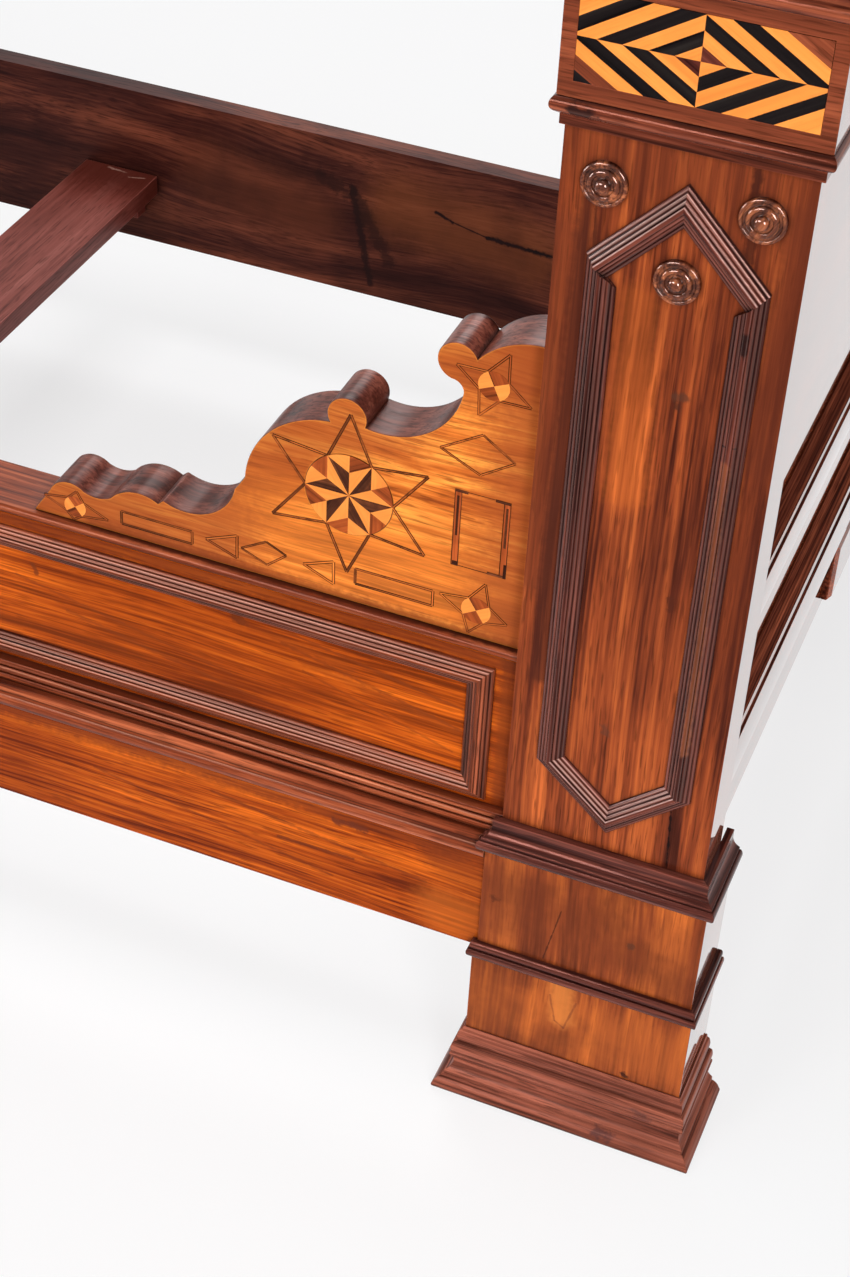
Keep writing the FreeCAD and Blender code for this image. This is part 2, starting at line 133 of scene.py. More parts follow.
# %% [markdown]
# ## Floor, world and lamps
# The bed stands on a seamless white floor under soft light from the upper right. The camera and
# polished surfaces see the floor nearly white, which Light Path decides, while the lamps stay at a
# level where a colour renders about as it is written. A part of plain diffuse stays in the floor,
# so the bed keeps its soft shadow. Three more lamps are hidden from diffuse light: they only draw
# the bright lines on reeds, beads and turned bosses that a window draws on old polish.

# %% Floor
FLOOR_HALF = 40.0
FLOOR_WHITE = (0.96, 0.96, 0.965, 1.0)
FLOOR_LIFT = 0.75


def seen_directly(tree):
    """1 for camera, glossy and transmission rays."""
    path = node(tree, "LightPath").outputs
    seen = sums(tree, "MAXIMUM", path["Is Camera Ray"], path["Is Glossy Ray"])
    return sums(tree, "MAXIMUM", seen, path["Is Transmission Ray"])


floor_mesh = bmesh.new()
bmesh.ops.create_grid(floor_mesh, x_segments=1, y_segments=1, size=FLOOR_HALF)
floor_data = bpy.data.meshes.new("studio_floor")
floor_mesh.to_mesh(floor_data)
floor_mesh.free()
floor = bpy.data.objects.new("studio_floor", floor_data)
scene.collection.objects.link(floor)

floor_paint = new_material("studio_white")
tree = floor_paint.node_tree
matt = node(tree, "BsdfDiffuse", {"Color": FLOOR_WHITE}).outputs[0]
bright = node(tree, "Emission", {"Color": FLOOR_WHITE}).outputs[0]
lift = sums(tree, "MULTIPLY", seen_directly(tree), FLOOR_LIFT)
output(tree, node(tree, "MixShader", {0: lift, 1: matt, 2: bright}).outputs[0])
floor_data.materials.append(floor_paint)
print("floor", floor.dimensions[:2])

# %% World
WORLD_LIGHT = 0.32
world = bpy.data.worlds.new("studio")
scene.world = world
world.use_nodes = True
tree = world.node_tree
tree.nodes.clear()
room = node(tree, "Background", {"Strength": WORLD_LIGHT}).outputs[0]
paper = node(tree, "Background", {"Color": (1.0, 1.0, 1.0, 1.0)}).outputs[0]
mixed = node(tree, "MixShader", {0: seen_directly(tree), 1: room, 2: paper}).outputs[0]
node(tree, "OutputWorld", {"Surface": mixed})
scene.view_settings.view_transform = "Standard"
print("world light", WORLD_LIGHT)

# %% Lamps
def soft_lamp(name, place, target, width, height, watts):
    """Rectangular area lamp aimed at a point."""
    data = bpy.data.lights.new(name, "AREA")
    data.shape = "RECTANGLE"
    data.size = width
    data.size_y = height
    data.energy = watts
    lamp = bpy.data.objects.new(name, data)
    aim = (Vector(target) - Vector(place)).to_track_quat("-Z", "Y")
    lamp.matrix_world = Matrix.Translation(place) @ aim.to_matrix().to_4x4()
    scene.collection.objects.link(lamp)
    return lamp


soft_lamp("front_right", (2.7, -3.2, 1.6), (0.9, -0.5, 0.7), 1.0, 1.7, 75.0)
soft_lamp("front_left", (-0.7, -3.6, 1.7), (0.6, -0.5, 0.5), 1.1, 1.4, 45.0)
soft_lamp("ceiling", (0.7, -0.5, 3.7), (0.7, -0.4, 0.5), 1.6, 1.2, 50.0)
soft_lamp("back", (-0.3, 2.6, 3.0), (0.6, -0.4, 0.6), 2.0, 1.0, 60.0)
for glint in (
        ("glint_right", (2.9, -3.3, 1.6), (0.98, -0.53, 0.8), 1.4, 1.4, 320.0),
        ("glint_left", (-0.5, -3.4, 2.2), (0.5, -0.52, 0.48), 2.0, 1.0, 300.0),
        ("glint_side", (-2.4, -1.8, 1.1), (0.98, -0.53, 0.9), 1.2, 1.2, 150.0)):
    soft_lamp(*glint).visible_diffuse = False

# %% [markdown]
# ## Walnut figure
# Walnut shows broad light and dark bands, the long arches of its growth rings where a board is cut
# flat, fine fibres, and short dark pores. All of them follow the board, so each piece below carries
# its own grain space: how far along, across and through the board a point is, and a number that
# tells one board from the next. One node group turns that space into four masks, and every wood in
# the scene mixes them in its own colours. Growth lines get their own darkness each, and fade in
# and out, because evenly drawn ones look like print.

# %% Group with sockets
def named_group(name, inputs, outputs):
    """Empty shader node group with float or vector inputs and float outputs."""
    tree = bpy.data.node_groups.new(name, "ShaderNodeTree")
    for label, default in inputs.items():
        kind = "NodeSocketFloat" if isinstance(default, float) else "NodeSocketVector"
        tree.interface.new_socket(label, in_out="INPUT", socket_type=kind).default_value = default
    for label in outputs:
        tree.interface.new_socket(label, in_out="OUTPUT", socket_type="NodeSocketFloat")
    return tree, tree.nodes.new("NodeGroupInput").outputs


# %% Place on the board and bands
BOARD_STEP = (3.1, 5.7, 8.3)
SWAY_PER_METRE = (1.8, 5.0, 5.0)
BAND_PER_METRE = 2.6
MASKS = ("Bands", "Lines", "Fibres", "Pores")
figure, given = named_group("walnut_figure", {"Band": 0.03, "Line": 0.012, "Sway": 0.012}, MASKS)
board_shift = scaled(figure, BOARD_STEP, carried(figure, "board"))
own_place = vectors(figure, "ADD", carried(figure, "grain", "Vector"), board_shift)
slow = vectors(figure, "MULTIPLY", own_place, SWAY_PER_METRE)
drift = node(figure, "TexNoise", {"Vector": slow, "Scale": 1.0, "Detail": 2.0}).outputs["Color"]
drift = vectors(figure, "SUBTRACT", drift, (0.5, 0.5, 0.5))
drift = vectors(figure, "MULTIPLY", drift, (0.0, 1.0, 1.0))
bent = vectors(figure, "ADD", own_place, scaled(figure, drift, given["Sway"]))

along, across, through = node(figure, "SeparateXYZ", {0: bent}).outputs
band_across = sums(figure, "DIVIDE", across, given["Band"])
band_through = sums(figure, "DIVIDE", through, given["Band"])
band_along = sums(figure, "MULTIPLY", along, BAND_PER_METRE)
band_place = node(figure, "CombineXYZ", {0: band_along, 1: band_across, 2: band_through}).outputs[0]
bands = node(figure, "TexNoise", {
    "Vector": band_place, "Scale": 1.0, "Detail": 4.0, "Roughness": 0.6}).outputs[0]
print("nodes for the bands", len(figure.nodes))

# %% Growth lines, fibres and pores
UNEVEN_PER_METRE = (1.2, 16.0, 16.0)
FADE_PER_METRE = (7.0, 60.0, 60.0)
FIBRES = (5.0, 330.0, 330.0)
PORES = (34.0, 500.0, 500.0)
RING_SLANT, RING_UNEVEN, RING_EDGE, RING_DROP = 0.35, 5.0, 5.0, 0.94
FADE_LIMITS = (0.35, 0.62)
PORE_LIMITS = (0.54, 0.7)
uneven = stretched_noise(figure, own_place, UNEVEN_PER_METRE)
turns = sums(figure, "MULTIPLY_ADD", through, RING_SLANT, across)
turns = sums(figure, "DIVIDE", turns, given["Line"])
turns = sums(figure, "MULTIPLY_ADD", uneven, RING_UNEVEN, turns)
ring = sums(figure, "FRACT", turns)
edge = sums(figure, "MULTIPLY", sums(figure, "POWER", ring, RING_EDGE), stepped(figure, ring, 1.0, RING_DROP))
depth = node(figure, "TexWhiteNoise", {"W": sums(figure, "FLOOR", turns)}, noise_dimensions="1D").outputs[0]
fade = stepped(figure, stretched_noise(figure, bent, FADE_PER_METRE), *FADE_LIMITS)
lines = sums(figure, "MULTIPLY", edge, sums(figure, "MULTIPLY", depth, fade))

fibres = stretched_noise(figure, bent, FIBRES, 4.0)
pores = stepped(figure, stretched_noise(figure, bent, PORES, 1.0), *PORE_LIMITS)
node_out = figure.nodes.new("NodeGroupOutput")
for label, value in zip(MASKS, (bands, lines, fibres, pores)):
    figure.links.new(value, node_out.inputs[label])
print("walnut_figure nodes", len(figure.nodes))

# %% [markdown]
# ## Marks of age and painted shade
# Old polish has knots, cracks and dark stains at definite places, and some marks are painted shade
# under the mouldings, beside the posts and at the foot of the bracket. Each is a soft-edged streak
# between two points of the bed, so one group measures the distance to that streak and gives back a
# mask. It reads Object coordinates, which are metres in the bed's own frame.

# %% Streak mark group
EDGE_NOISE = 160.0
SOLID_SHARE = 0.25
streak, given = named_group(
    "streak_mark", {"Start": (0.0, 0.0, 0.0), "End": (0.0, 0.0, 0.1), "Width": 0.002, "Ragged": 0.5},
    ("Mask",))
spot = node(streak, "TexCoord").outputs["Object"]
run = vectors(streak, "SUBTRACT", given["End"], given["Start"])
reach = vectors(streak, "SUBTRACT", spot, given["Start"])
measure = node(streak, "VectorMath", {0: reach, 1: run}, operation="DOT_PRODUCT").outputs["Value"]
length = node(streak, "VectorMath", {0: run, 1: run}, operation="DOT_PRODUCT").outputs["Value"]
share = node(streak, "Clamp", {0: sums(streak, "DIVIDE", measure, length)}).outputs[0]
nearest = scaled(streak, run, share)
away = node(streak, "VectorMath", {0: reach, 1: nearest}, operation="DISTANCE").outputs["Value"]
rough_edge = node(streak, "TexNoise", {"Vector": spot, "Scale": EDGE_NOISE, "Detail": 3.0}).outputs[0]
rough_edge = sums(streak, "SUBTRACT", rough_edge, 0.5)
rough_edge = sums(streak, "MULTIPLY", rough_edge, sums(streak, "MULTIPLY", given["Ragged"], given["Width"]))
away = sums(streak, "MULTIPLY_ADD", rough_edge, 2.0, away)
inside = sums(streak, "DIVIDE", away, given["Width"])
node_out = streak.nodes.new("NodeGroupOutput")
streak.links.new(stepped(streak, inside, 1.0, SOLID_SHARE), node_out.inputs["Mask"])
print("streak_mark nodes", len(streak.nodes))

# %% [markdown]
# ## Polished wood
# One function makes every wood from the two groups. Bands and fibres pick a colour from a ramp, and
# lines and pores are drawn over it. Then come the marks of age and darker spots at random, painted
# shade round the parts that stand near a face and in the corners, darker colour towards the rim of a
# board, painted shade in each groove of a moulding, and a paler line that is wear on the eased edges
# and a painted highlight on the crests of reeds. A polish is six numbers: the wood's roughness and
# index, how white its shine is face on, and the weight, roughness and index of the clear coat. A low
# index shines little face on and much at a glance.

# %% Polishes
FRENCH_POLISH = (0.04, 1.22, 0.0, 0.2, 0.04, 1.1)
END_POLISH = (0.0, 1.5, 0.3, 1.0, 0.02, 1.5)
MOULDED_POLISH = (0.07, 1.42, 0.05, 0.1, 0.06, 1.1)
EDGE_POLISH = (0.26, 1.28, 0.15, 0.1, 0.2, 1.1)
DULL_POLISH = (0.36, 1.3, 0.1, 0.1, 0.3, 1.1)
TURNED_POLISH = (0.02, 1.5, 0.3, 0.3, 0.02, 1.2)
DEAD_POLISH = (0.6, 1.02, 0.0, 0.0, 0.5, 1.0)
RUBBED_POLISH = (0.28, 1.25, 0.1, 0.1, 0.2, 1.1)

# %% Tints and patina
OPEN_SAMPLES = 5


def tinted(tree, colour, mask, share, tint):
    """Colour with a tint laid over it, as thick as a mask times a share."""
    feeds = {0: sums(tree, "MULTIPLY", mask, share), 6: colour, 7: tint}
    return node(tree, "Mix", feeds, data_type="RGBA").outputs[2]


def colour_ramp(tree, value, stops):
    """Colour ramp from (place, colour) pairs."""
    ramp = node(tree, "ValToRGB", {0: value})
    for _ in stops[2:]:
        ramp.color_ramp.elements.new(0.5)
    for element, (place, colour) in zip(ramp.color_ramp.elements, stops):
        element.position = place
        element.color = colour
    return ramp.outputs[0]


def hidden_share(tree, reach):
    """How much a point is shut in by what stands round it."""
    open_share = node(tree, "AmbientOcclusion", {"Distance": reach}, samples=OPEN_SAMPLES).outputs["AO"]
    return sums(tree, "SUBTRACT", 1.0, open_share)


def shade(colour, share=1.0):
    return (*[min(1.0, share * c) for c in colour], 1.0)


def rim_share(tree, half_width, reach, strength):
    """Share of darkening towards the two long edges of a board."""
    grain = carried(tree, "grain", "Vector")
    across = sums(tree, "ABSOLUTE", node(tree, "SeparateXYZ", {0: grain}).outputs[1])
    return stepped(tree, across, half_width - reach, half_width, 0.0, strength)


# %% Wood material
# Reaches of the painted shade: in corners, and round the parts that stand near a face.
CORNER_REACH = 0.005
NEAR_SHADE_REACH = 0.04
DEEPEST, LINE_SHADE, PORE_SHADE, GROOVE_SHADE, CORNER_SHADE_DARKNESS = 0.5, 0.6, 0.5, 0.3, 0.2
PALEST, CREST_LIGHT = 1.3, 1.4
BLOTCH_LIMITS = (0.42, 0.66)
FIBRE_ROUGH, PORE_ROUGH, PORE_DEPTH = 0.08, 0.1, -0.7
RELIEF_DEPTH = 0.0003


def wood(name, dark, middle, light, fibre_share=0.38, line_share=0.5, pore_share=0.55,
         contrast=(0.38, 0.62), band=0.03, line=0.012, sway=0.012, polish=FRENCH_POLISH, marks=(),
         corner_shade=0.8, near_shade=0.7, spots=(5.0, 0.35), rim=None, worn=0.25, crest=None, groove=0.0, relief=0.08):
    """Polished wood; a mark is (start, end, width, ragged, strength, colour). Three strengths paint shade in
    corners, round near parts and in grooves; one pales eased edges as wear and reed crests as a painted
    highlight.
    """
    material = new_material(name)
    tree = material.node_tree
    masks = node(tree, "Group", {"Band": band, "Line": line, "Sway": sway}, node_tree=figure).outputs
    value = node(tree, "Mix", {0: fibre_share, 2: masks["Bands"], 3: masks["Fibres"]}).outputs[0]
    value = node(tree, "MapRange", {0: value, 1: contrast[0], 2: contrast[1]}).outputs[0]
    colour = colour_ramp(tree, value, [
        (0.0, shade(dark, DEEPEST)), (0.15, shade(dark)), (0.5, shade(middle)),
        (0.85, shade(light)), (1.0, shade(light, PALEST))])
    colour = tinted(tree, colour, masks["Lines"], line_share, shade(dark, LINE_SHADE))
    colour = tinted(tree, colour, masks["Pores"], pore_share, shade(dark, PORE_SHADE))
    for start, end, width, ragged, strength, mark_colour in marks:
        feeds = {"Start": start, "End": end, "Width": width, "Ragged": ragged}
        mask = node(tree, "Group", feeds, node_tree=streak).outputs["Mask"]
        colour = tinted(tree, colour, mask, strength, shade(mark_colour))
    spot_scale, spot_strength = spots
    place = node(tree, "TexCoord").outputs["Object"]
    blotch = node(tree, "TexNoise", {"Vector": place, "Scale": spot_scale, "Detail": 4.0}).outputs[0]
    aged_and_shaded = stepped(tree, blotch, *BLOTCH_LIMITS, 0.0, spot_strength)
    # Painted shade round the parts that stand near a face, added to the random darker spots.
    aged_and_shaded = sums(tree, "MULTIPLY_ADD", hidden_share(tree, NEAR_SHADE_REACH), near_shade, aged_and_shaded)
    if rim:
        aged_and_shaded = sums(tree, "ADD", aged_and_shaded, rim_share(tree, *rim))
    aged_and_shaded = sums(tree, "MINIMUM", aged_and_shaded, 1.0)
    colour = tinted(tree, colour, aged_and_shaded, 1.0, shade(dark))
    # Painted shade in the corners.
    colour = tinted(tree, colour, hidden_share(tree, CORNER_REACH), corner_shade, shade(dark, CORNER_SHADE_DARKNESS))
    # Painted shade in the grooves between reeds.
    colour = tinted(tree, colour, carried(tree, "groove"), groove, shade(dark, GROOVE_SHADE))
    # A paler line: wear on eased edges, and a painted highlight on the crests of reeds.
    wear_and_highlight_colour = shade(crest) if crest else shade(light, CREST_LIGHT)
    colour = tinted(tree, colour, carried(tree, "worn"), worn, wear_and_highlight_colour)
    gloss, index, shine_white, coat, coat_gloss, coat_index = polish
    rough = sums(tree, "MULTIPLY_ADD", masks["Fibres"], FIBRE_ROUGH, gloss)
    rough = sums(tree, "MULTIPLY_ADD", masks["Pores"], PORE_ROUGH, rough)
    height = sums(tree, "MULTIPLY_ADD", masks["Pores"], PORE_DEPTH, masks["Fibres"])
    bump = node(tree, "Bump", {"Height": height, "Strength": relief, "Distance": RELIEF_DEPTH}).outputs[0]
    shine = [shine_white + (1.0 - shine_white) * c for c in light]
    shader = node(tree, "BsdfPrincipled", {
        "Base Color": colour, "Roughness": rough, "Normal": bump, "IOR": index, "Specular Tint": shade(shine),
        "Coat Weight": coat, "Coat Roughness": coat_gloss, "Coat IOR": coat_index})
    output(tree, shader.outputs[0])
    return material


# %% [markdown]
# ## The woods of this bed
# The show faces are warm orange-brown walnut, the bracket is paler and golden, the mouldings and
# the inside of the rails are darker, and the slats are a dull red-brown wood that was never
# polished. Each wood only changes the colours, the balance of the masks and its marks, which lie
# where the photograph shows a knot, a crack or a stain. Some marks are painted shade: under the
# mouldings, beside the posts and at the foot of the bracket.

# %% Colours of the marks
BLACK = (0.006, 0.003, 0.003)
BROWN = (0.06, 0.015, 0.008)
GREY_KNOT = (0.07, 0.03, 0.018)
SHADOWED = (0.13, 0.028, 0.012)
# Brown for real stains and grain lines, and for bands of painted shade under the cap and mouldings and beside
# the posts.
STAIN_AND_SHADE = (0.11, 0.021, 0.007)
RUSTY = (0.13, 0.024, 0.006)
FLAME = (0.2, 0.05, 0.018)
INKY = (0.016, 0.005, 0.004)
BRUISE = (0.06, 0.028, 0.032)
AMBER = (0.55, 0.125, 0.02)
GOLD = (0.8, 0.25, 0.05)
PALE = (0.62, 0.36, 0.28)
DUSKY = (0.3, 0.064, 0.016)
HONEY = (0.92, 0.28, 0.042)


def on_face(y, *marks):
    """Marks on an upright face, each from one (x, z) to another."""
    return tuple(((x0, y, z0), (x1, y, z1), *rest) for (x0, z0), (x1, z1), *rest in marks)


# %% Marks on the posts
SHAFT_FACE, UPPER_BLOCK, LOWER_BLOCK = -0.53, -0.54, -0.543
SHAFT_MARKS = on_face(
    SHAFT_FACE,
    # The first four marks are painted shade under the necking and along both edges of the shaft, and a
    # painted shadow beside the hexagon's left stick.
    ((0.9, 1.0), (1.07, 0.98), 0.09, 0.2, 0.55, SHADOWED),
    ((0.9, 0.9), (0.903, 0.6), 0.028, 0.3, 0.55, SHADOWED),
    ((1.066, 0.95), (1.066, 0.75), 0.02, 0.3, 0.5, SHADOWED),
    ((0.916, 0.93), (0.914, 0.5), 0.012, 0.3, 0.6, (0.05, 0.013, 0.008)),
    ((0.96, 0.86), (0.966, 0.7), 0.026, 0.25, 0.3, AMBER),
    ((0.995, 0.793), (1.002, 0.794), 0.0055, 0.8, 0.7, GREY_KNOT),
    ((0.998, 0.786), (0.998, 0.784), 0.005, 0.8, 0.75, (0.045, 0.016, 0.01)),
    ((0.973, 0.466), (0.974, 0.461), 0.005, 1.2, 0.6, (0.1, 0.035, 0.02)),
    ((1.038, 0.397), (1.041, 0.334), 0.0011, 1.6, 1.0, BLACK),
    ((1.031, 0.98), (1.033, 0.915), 0.006, 0.7, 0.85, (0.035, 0.01, 0.007)),
    ((0.922, 0.93), (0.924, 0.88), 0.0022, 0.9, 0.7, BROWN),
    ((1.012, 0.613), (1.014, 0.601), 0.004, 1.2, 0.7, BROWN))
BLOCK_MARKS = on_face(
    UPPER_BLOCK,
    ((0.88, 0.24), (1.08, 0.24), 0.075, 0.15, 0.55, (0.19, 0.04, 0.013)),
    ((0.958, 0.255), (0.946, 0.19), 0.001, 1.0, 0.85, BROWN),
    ((1.023, 0.241), (1.023, 0.238), 0.004, 1.2, 0.75, (0.07, 0.035, 0.02)),
    ((0.894, 0.247), (0.898, 0.242), 0.005, 1.3, 0.7, BROWN)) + on_face(
    LOWER_BLOCK,
    ((0.88, 0.115), (1.08, 0.115), 0.06, 0.15, 0.4, (0.48, 0.115, 0.022)),
    ((0.967, 0.165), (0.97, 0.125), 0.018, 0.2, 0.55, GOLD),
    ((0.957, 0.15), (0.964, 0.119), 0.0016, 0.9, 0.7, FLAME),
    ((0.964, 0.119), (0.973, 0.113), 0.0016, 0.9, 0.7, FLAME),
    ((0.973, 0.113), (0.982, 0.15), 0.0016, 0.9, 0.7, FLAME),
    ((1.033, 0.079), (1.037, 0.077), 0.004, 1.0, 0.9, (0.02, 0.006, 0.004)))
STICK_MARKS = (
    ((1.041, -0.538, 0.86), (1.041, -0.538, 0.847), 0.0045, 0.3, 1.0, BLACK),
    ((1.03, -0.536, 0.766), (1.054, -0.536, 0.766), 0.0012, 0.3, 0.9, BLACK),
    ((1.04, -0.538, 0.75), (1.043, -0.538, 0.47), 0.006, 0.6, 0.5, (0.3, 0.085, 0.03)))
NECK_MARKS = (
    ((0.902, -0.541, 1.0), (0.912, -0.541, 1.0), 0.009, 1.2, 0.9, (0.012, 0.005, 0.005)),)
BASE_MARKS = (
    ((1.022, -0.565, 0.012), (1.03, -0.565, 0.012), 0.01, 1.2, 0.75, BRUISE),
    ((1.05, -0.556, 0.042), (1.06, -0.556, 0.042), 0.008, 1.2, 0.6, BRUISE))
print("post marks", len(SHAFT_MARKS + BLOCK_MARKS + STICK_MARKS + NECK_MARKS + BASE_MARKS))

# %% Marks on the near rail and its bracket
BRACKET_FRONT, BOARD_FACE, SKIRT_FACE = -0.512, -0.518, -0.538
BRACKET_MARKS = on_face(
    BRACKET_FRONT,
    ((0.66, 0.565), (0.84, 0.55), 0.07, 0.15, 0.3, HONEY),
    ((0.9, 0.53), (0.9, 0.8), 0.085, 0.2, 0.75, DUSKY),
    ((0.44, 0.54), (0.6, 0.54), 0.09, 0.2, 0.7, DUSKY),
    ((0.77, 0.76), (0.89, 0.8), 0.075, 0.2, 0.65, DUSKY),
    ((0.62, 0.63), (0.76, 0.7), 0.075, 0.2, 0.6, DUSKY),
    # The last mark is painted shade along the foot of the bracket, where it stands on the rail cap.
    ((0.5, 0.504), (0.89, 0.504), 0.014, 0.4, 0.7, (0.2, 0.04, 0.012)))
RAIL_MARKS = on_face(
    BOARD_FACE,
    # The first three marks are painted shade under the rail cap and beside both posts.
    ((-0.9, 0.4915), (0.9, 0.4915), 0.011, 0.3, 0.65, STAIN_AND_SHADE),
    ((0.886, 0.33), (0.886, 0.5), 0.014, 0.3, 0.75, STAIN_AND_SHADE),
    ((-0.886, 0.33), (-0.886, 0.5), 0.014, 0.3, 0.75, STAIN_AND_SHADE),
    ((0.655, 0.461), (0.85, 0.428), 0.0022, 0.8, 0.6, STAIN_AND_SHADE),
    ((0.68, 0.442), (0.85, 0.404), 0.0026, 0.8, 0.6, STAIN_AND_SHADE),
    ((0.7, 0.418), (0.84, 0.378), 0.002, 0.8, 0.5, STAIN_AND_SHADE),
    ((0.42, 0.43), (0.63, 0.39), 0.0022, 0.8, 0.5, STAIN_AND_SHADE),
    ((0.47, 0.405), (0.68, 0.366), 0.003, 0.8, 0.5, STAIN_AND_SHADE),
    ((0.636, 0.457), (0.641, 0.453), 0.008, 1.2, 0.9, (0.05, 0.013, 0.006)),
    ((0.645, 0.452), (0.745, 0.436), 0.007, 0.6, 0.4, RUSTY),
    ((0.7, 0.428), (0.84, 0.404), 0.006, 0.6, 0.4, RUSTY),
    ((0.438, 0.447), (0.441, 0.438), 0.003, 1.2, 0.8, BROWN)) + on_face(
    SKIRT_FACE,
    # The first two marks are painted shade under the ovolo moulding and in the corner by the post.
    ((-0.9, 0.285), (0.9, 0.285), 0.016, 0.6, 0.55, STAIN_AND_SHADE),
    ((0.845, 0.27), (0.886, 0.255), 0.03, 0.3, 0.5, STAIN_AND_SHADE),
    ((0.62, 0.262), (0.83, 0.235), 0.0028, 0.8, 0.55, STAIN_AND_SHADE),
    ((0.5, 0.245), (0.74, 0.205), 0.0024, 0.8, 0.5, STAIN_AND_SHADE),
    ((0.742, 0.274), (0.771, 0.275), 0.005, 1.2, 0.8, (0.09, 0.022, 0.012)),
    ((0.686, 0.232), (0.76, 0.234), 0.0028, 0.9, 0.7, (0.1, 0.022, 0.008)),
    ((0.1, 0.24), (0.9, 0.24), 0.12, 0.1, 0.25, (0.2, 0.03, 0.004)),
    ((0.85, 0.208), (0.89, 0.2), 0.045, 0.15, 0.4, (0.68, 0.16, 0.02))) + on_face(
    BOARD_FACE,
    ((0.1, 0.41), (0.9, 0.41), 0.09, 0.1, 0.18, (0.6, 0.115, 0.008)))
# A black line of painted shadow on the cap, in the gap under the bracket's foot.
CAP_MARKS = (((0.5, -0.513, 0.506), (0.9, -0.513, 0.502), 0.0055, 0.4, 0.95, BLACK),)
print("near rail marks", len(BRACKET_MARKS + RAIL_MARKS + CAP_MARKS))

# %% Marks on the far rail and the slats
FAR_INNER = 0.46
FAR_MARKS = on_face(
    FAR_INNER,
    ((0.39, 0.3), (0.55, 0.28), 0.075, 0.15, 0.6, (0.2, 0.055, 0.018)),
    ((0.13, 0.285), (0.26, 0.262), 0.07, 0.15, 0.5, (0.15, 0.038, 0.016)),
    ((0.321, 0.314), (0.349, 0.186), 0.007, 0.9, 0.9, (0.012, 0.004, 0.004)),
    ((0.323, 0.31), (0.375, 0.22), 0.012, 1.0, 0.7, INKY),
    ((0.28, 0.32), (0.315, 0.305), 0.014, 1.2, 0.6, INKY),
    ((0.434, 0.307), (0.456, 0.299), 0.0035, 0.7, 1.0, BLACK),
    ((0.456, 0.299), (0.502, 0.289), 0.0014, 0.8, 0.9, BLACK),
    ((0.502, 0.289), (0.59, 0.284), 0.0045, 0.8, 1.0, BLACK))
SLAT_MARKS = (
    ((-0.05, 0.45, 0.264), (0.05, 0.45, 0.264), 0.075, 0.3, 0.8, (0.075, 0.012, 0.007)),
    ((-0.015, 0.452, 0.264), (0.012, 0.449, 0.264), 0.0022, 1.8, 0.8, PALE),
    ((0.02, 0.44, 0.264), (0.04, 0.446, 0.264), 0.0016, 1.8, 0.7, PALE))
print("far rail and slat marks", len(FAR_MARKS + SLAT_MARKS))

# %% Woods of the show side
PILASTER = wood(
    "pilaster_walnut", (0.08, 0.016, 0.008), (0.26, 0.051, 0.015), (0.47, 0.106, 0.025), fibre_share=0.32,
    contrast=(0.37, 0.65), band=0.018, line=0.009, sway=0.014, pore_share=0.5,
    marks=SHAFT_MARKS, rim=(0.09, 0.035, 0.2))
PILASTER_END = wood(
    "pilaster_end_walnut", (0.085, 0.019, 0.01), (0.28, 0.056, 0.018), (0.52, 0.118, 0.03), fibre_share=0.22,
    contrast=(0.2, 0.8), band=0.022, line=0.011, sway=0.014, polish=END_POLISH,
    relief=0.0)
RAIL = wood(
    "rail_walnut", (0.13, 0.013, 0.001), (0.43, 0.067, 0.004), (0.66, 0.13, 0.008), fibre_share=0.46,
    contrast=(0.38, 0.63), line_share=1.0, band=0.026, line=0.008, sway=0.03,
    marks=RAIL_MARKS, near_shade=0.5)
BRACKET = wood(
    "bracket_walnut", (0.28, 0.055, 0.011), (0.6, 0.14, 0.019), (0.9, 0.28, 0.045), fibre_share=0.3,
    line_share=1.0, band=0.024, line=0.014, sway=0.05, marks=BRACKET_MARKS,
    near_shade=0.4, spots=(9.0, 0.3))
PLINTH = wood(
    "plinth_walnut", (0.1, 0.02, 0.008), (0.27, 0.055, 0.014), (0.5, 0.12, 0.022), fibre_share=0.25,
    line_share=0.4, sway=0.03, marks=BLOCK_MARKS,
    spots=(14.0, 0.5), contrast=(0.36, 0.62), pore_share=0.35)
FRIEZE = wood(
    "frieze_walnut", (0.085, 0.02, 0.011), (0.2, 0.046, 0.02), (0.32, 0.08, 0.034), contrast=(0.3, 0.7),
    band=0.014, line=0.01, sway=0.01)
print("materials", len(bpy.data.materials))

# %% Woods of the mouldings
BASE = wood(
    "base_walnut", (0.07, 0.018, 0.011), (0.31, 0.087, 0.052), (0.45, 0.135, 0.08),
    contrast=(0.34, 0.66), band=0.009, polish=RUBBED_POLISH, marks=BASE_MARKS, corner_shade=1.0)
MOULDING = wood(
    "moulding_walnut", (0.05, 0.011, 0.006), (0.14, 0.03, 0.015), (0.28, 0.07, 0.032),
    band=0.01, polish=MOULDED_POLISH, marks=NECK_MARKS, corner_shade=1.0)
END_MOULDING = wood(
    "end_moulding_walnut", (0.04, 0.009, 0.005), (0.12, 0.026, 0.013), (0.24, 0.06, 0.028),
    band=0.01, polish=DEAD_POLISH, corner_shade=1.0, relief=0.0)
PLINTH_MOULDING = wood(
    "plinth_moulding_walnut", (0.03, 0.008, 0.006), (0.085, 0.022, 0.016), (0.19, 0.052, 0.034),
    band=0.01, polish=MOULDED_POLISH, corner_shade=1.0)
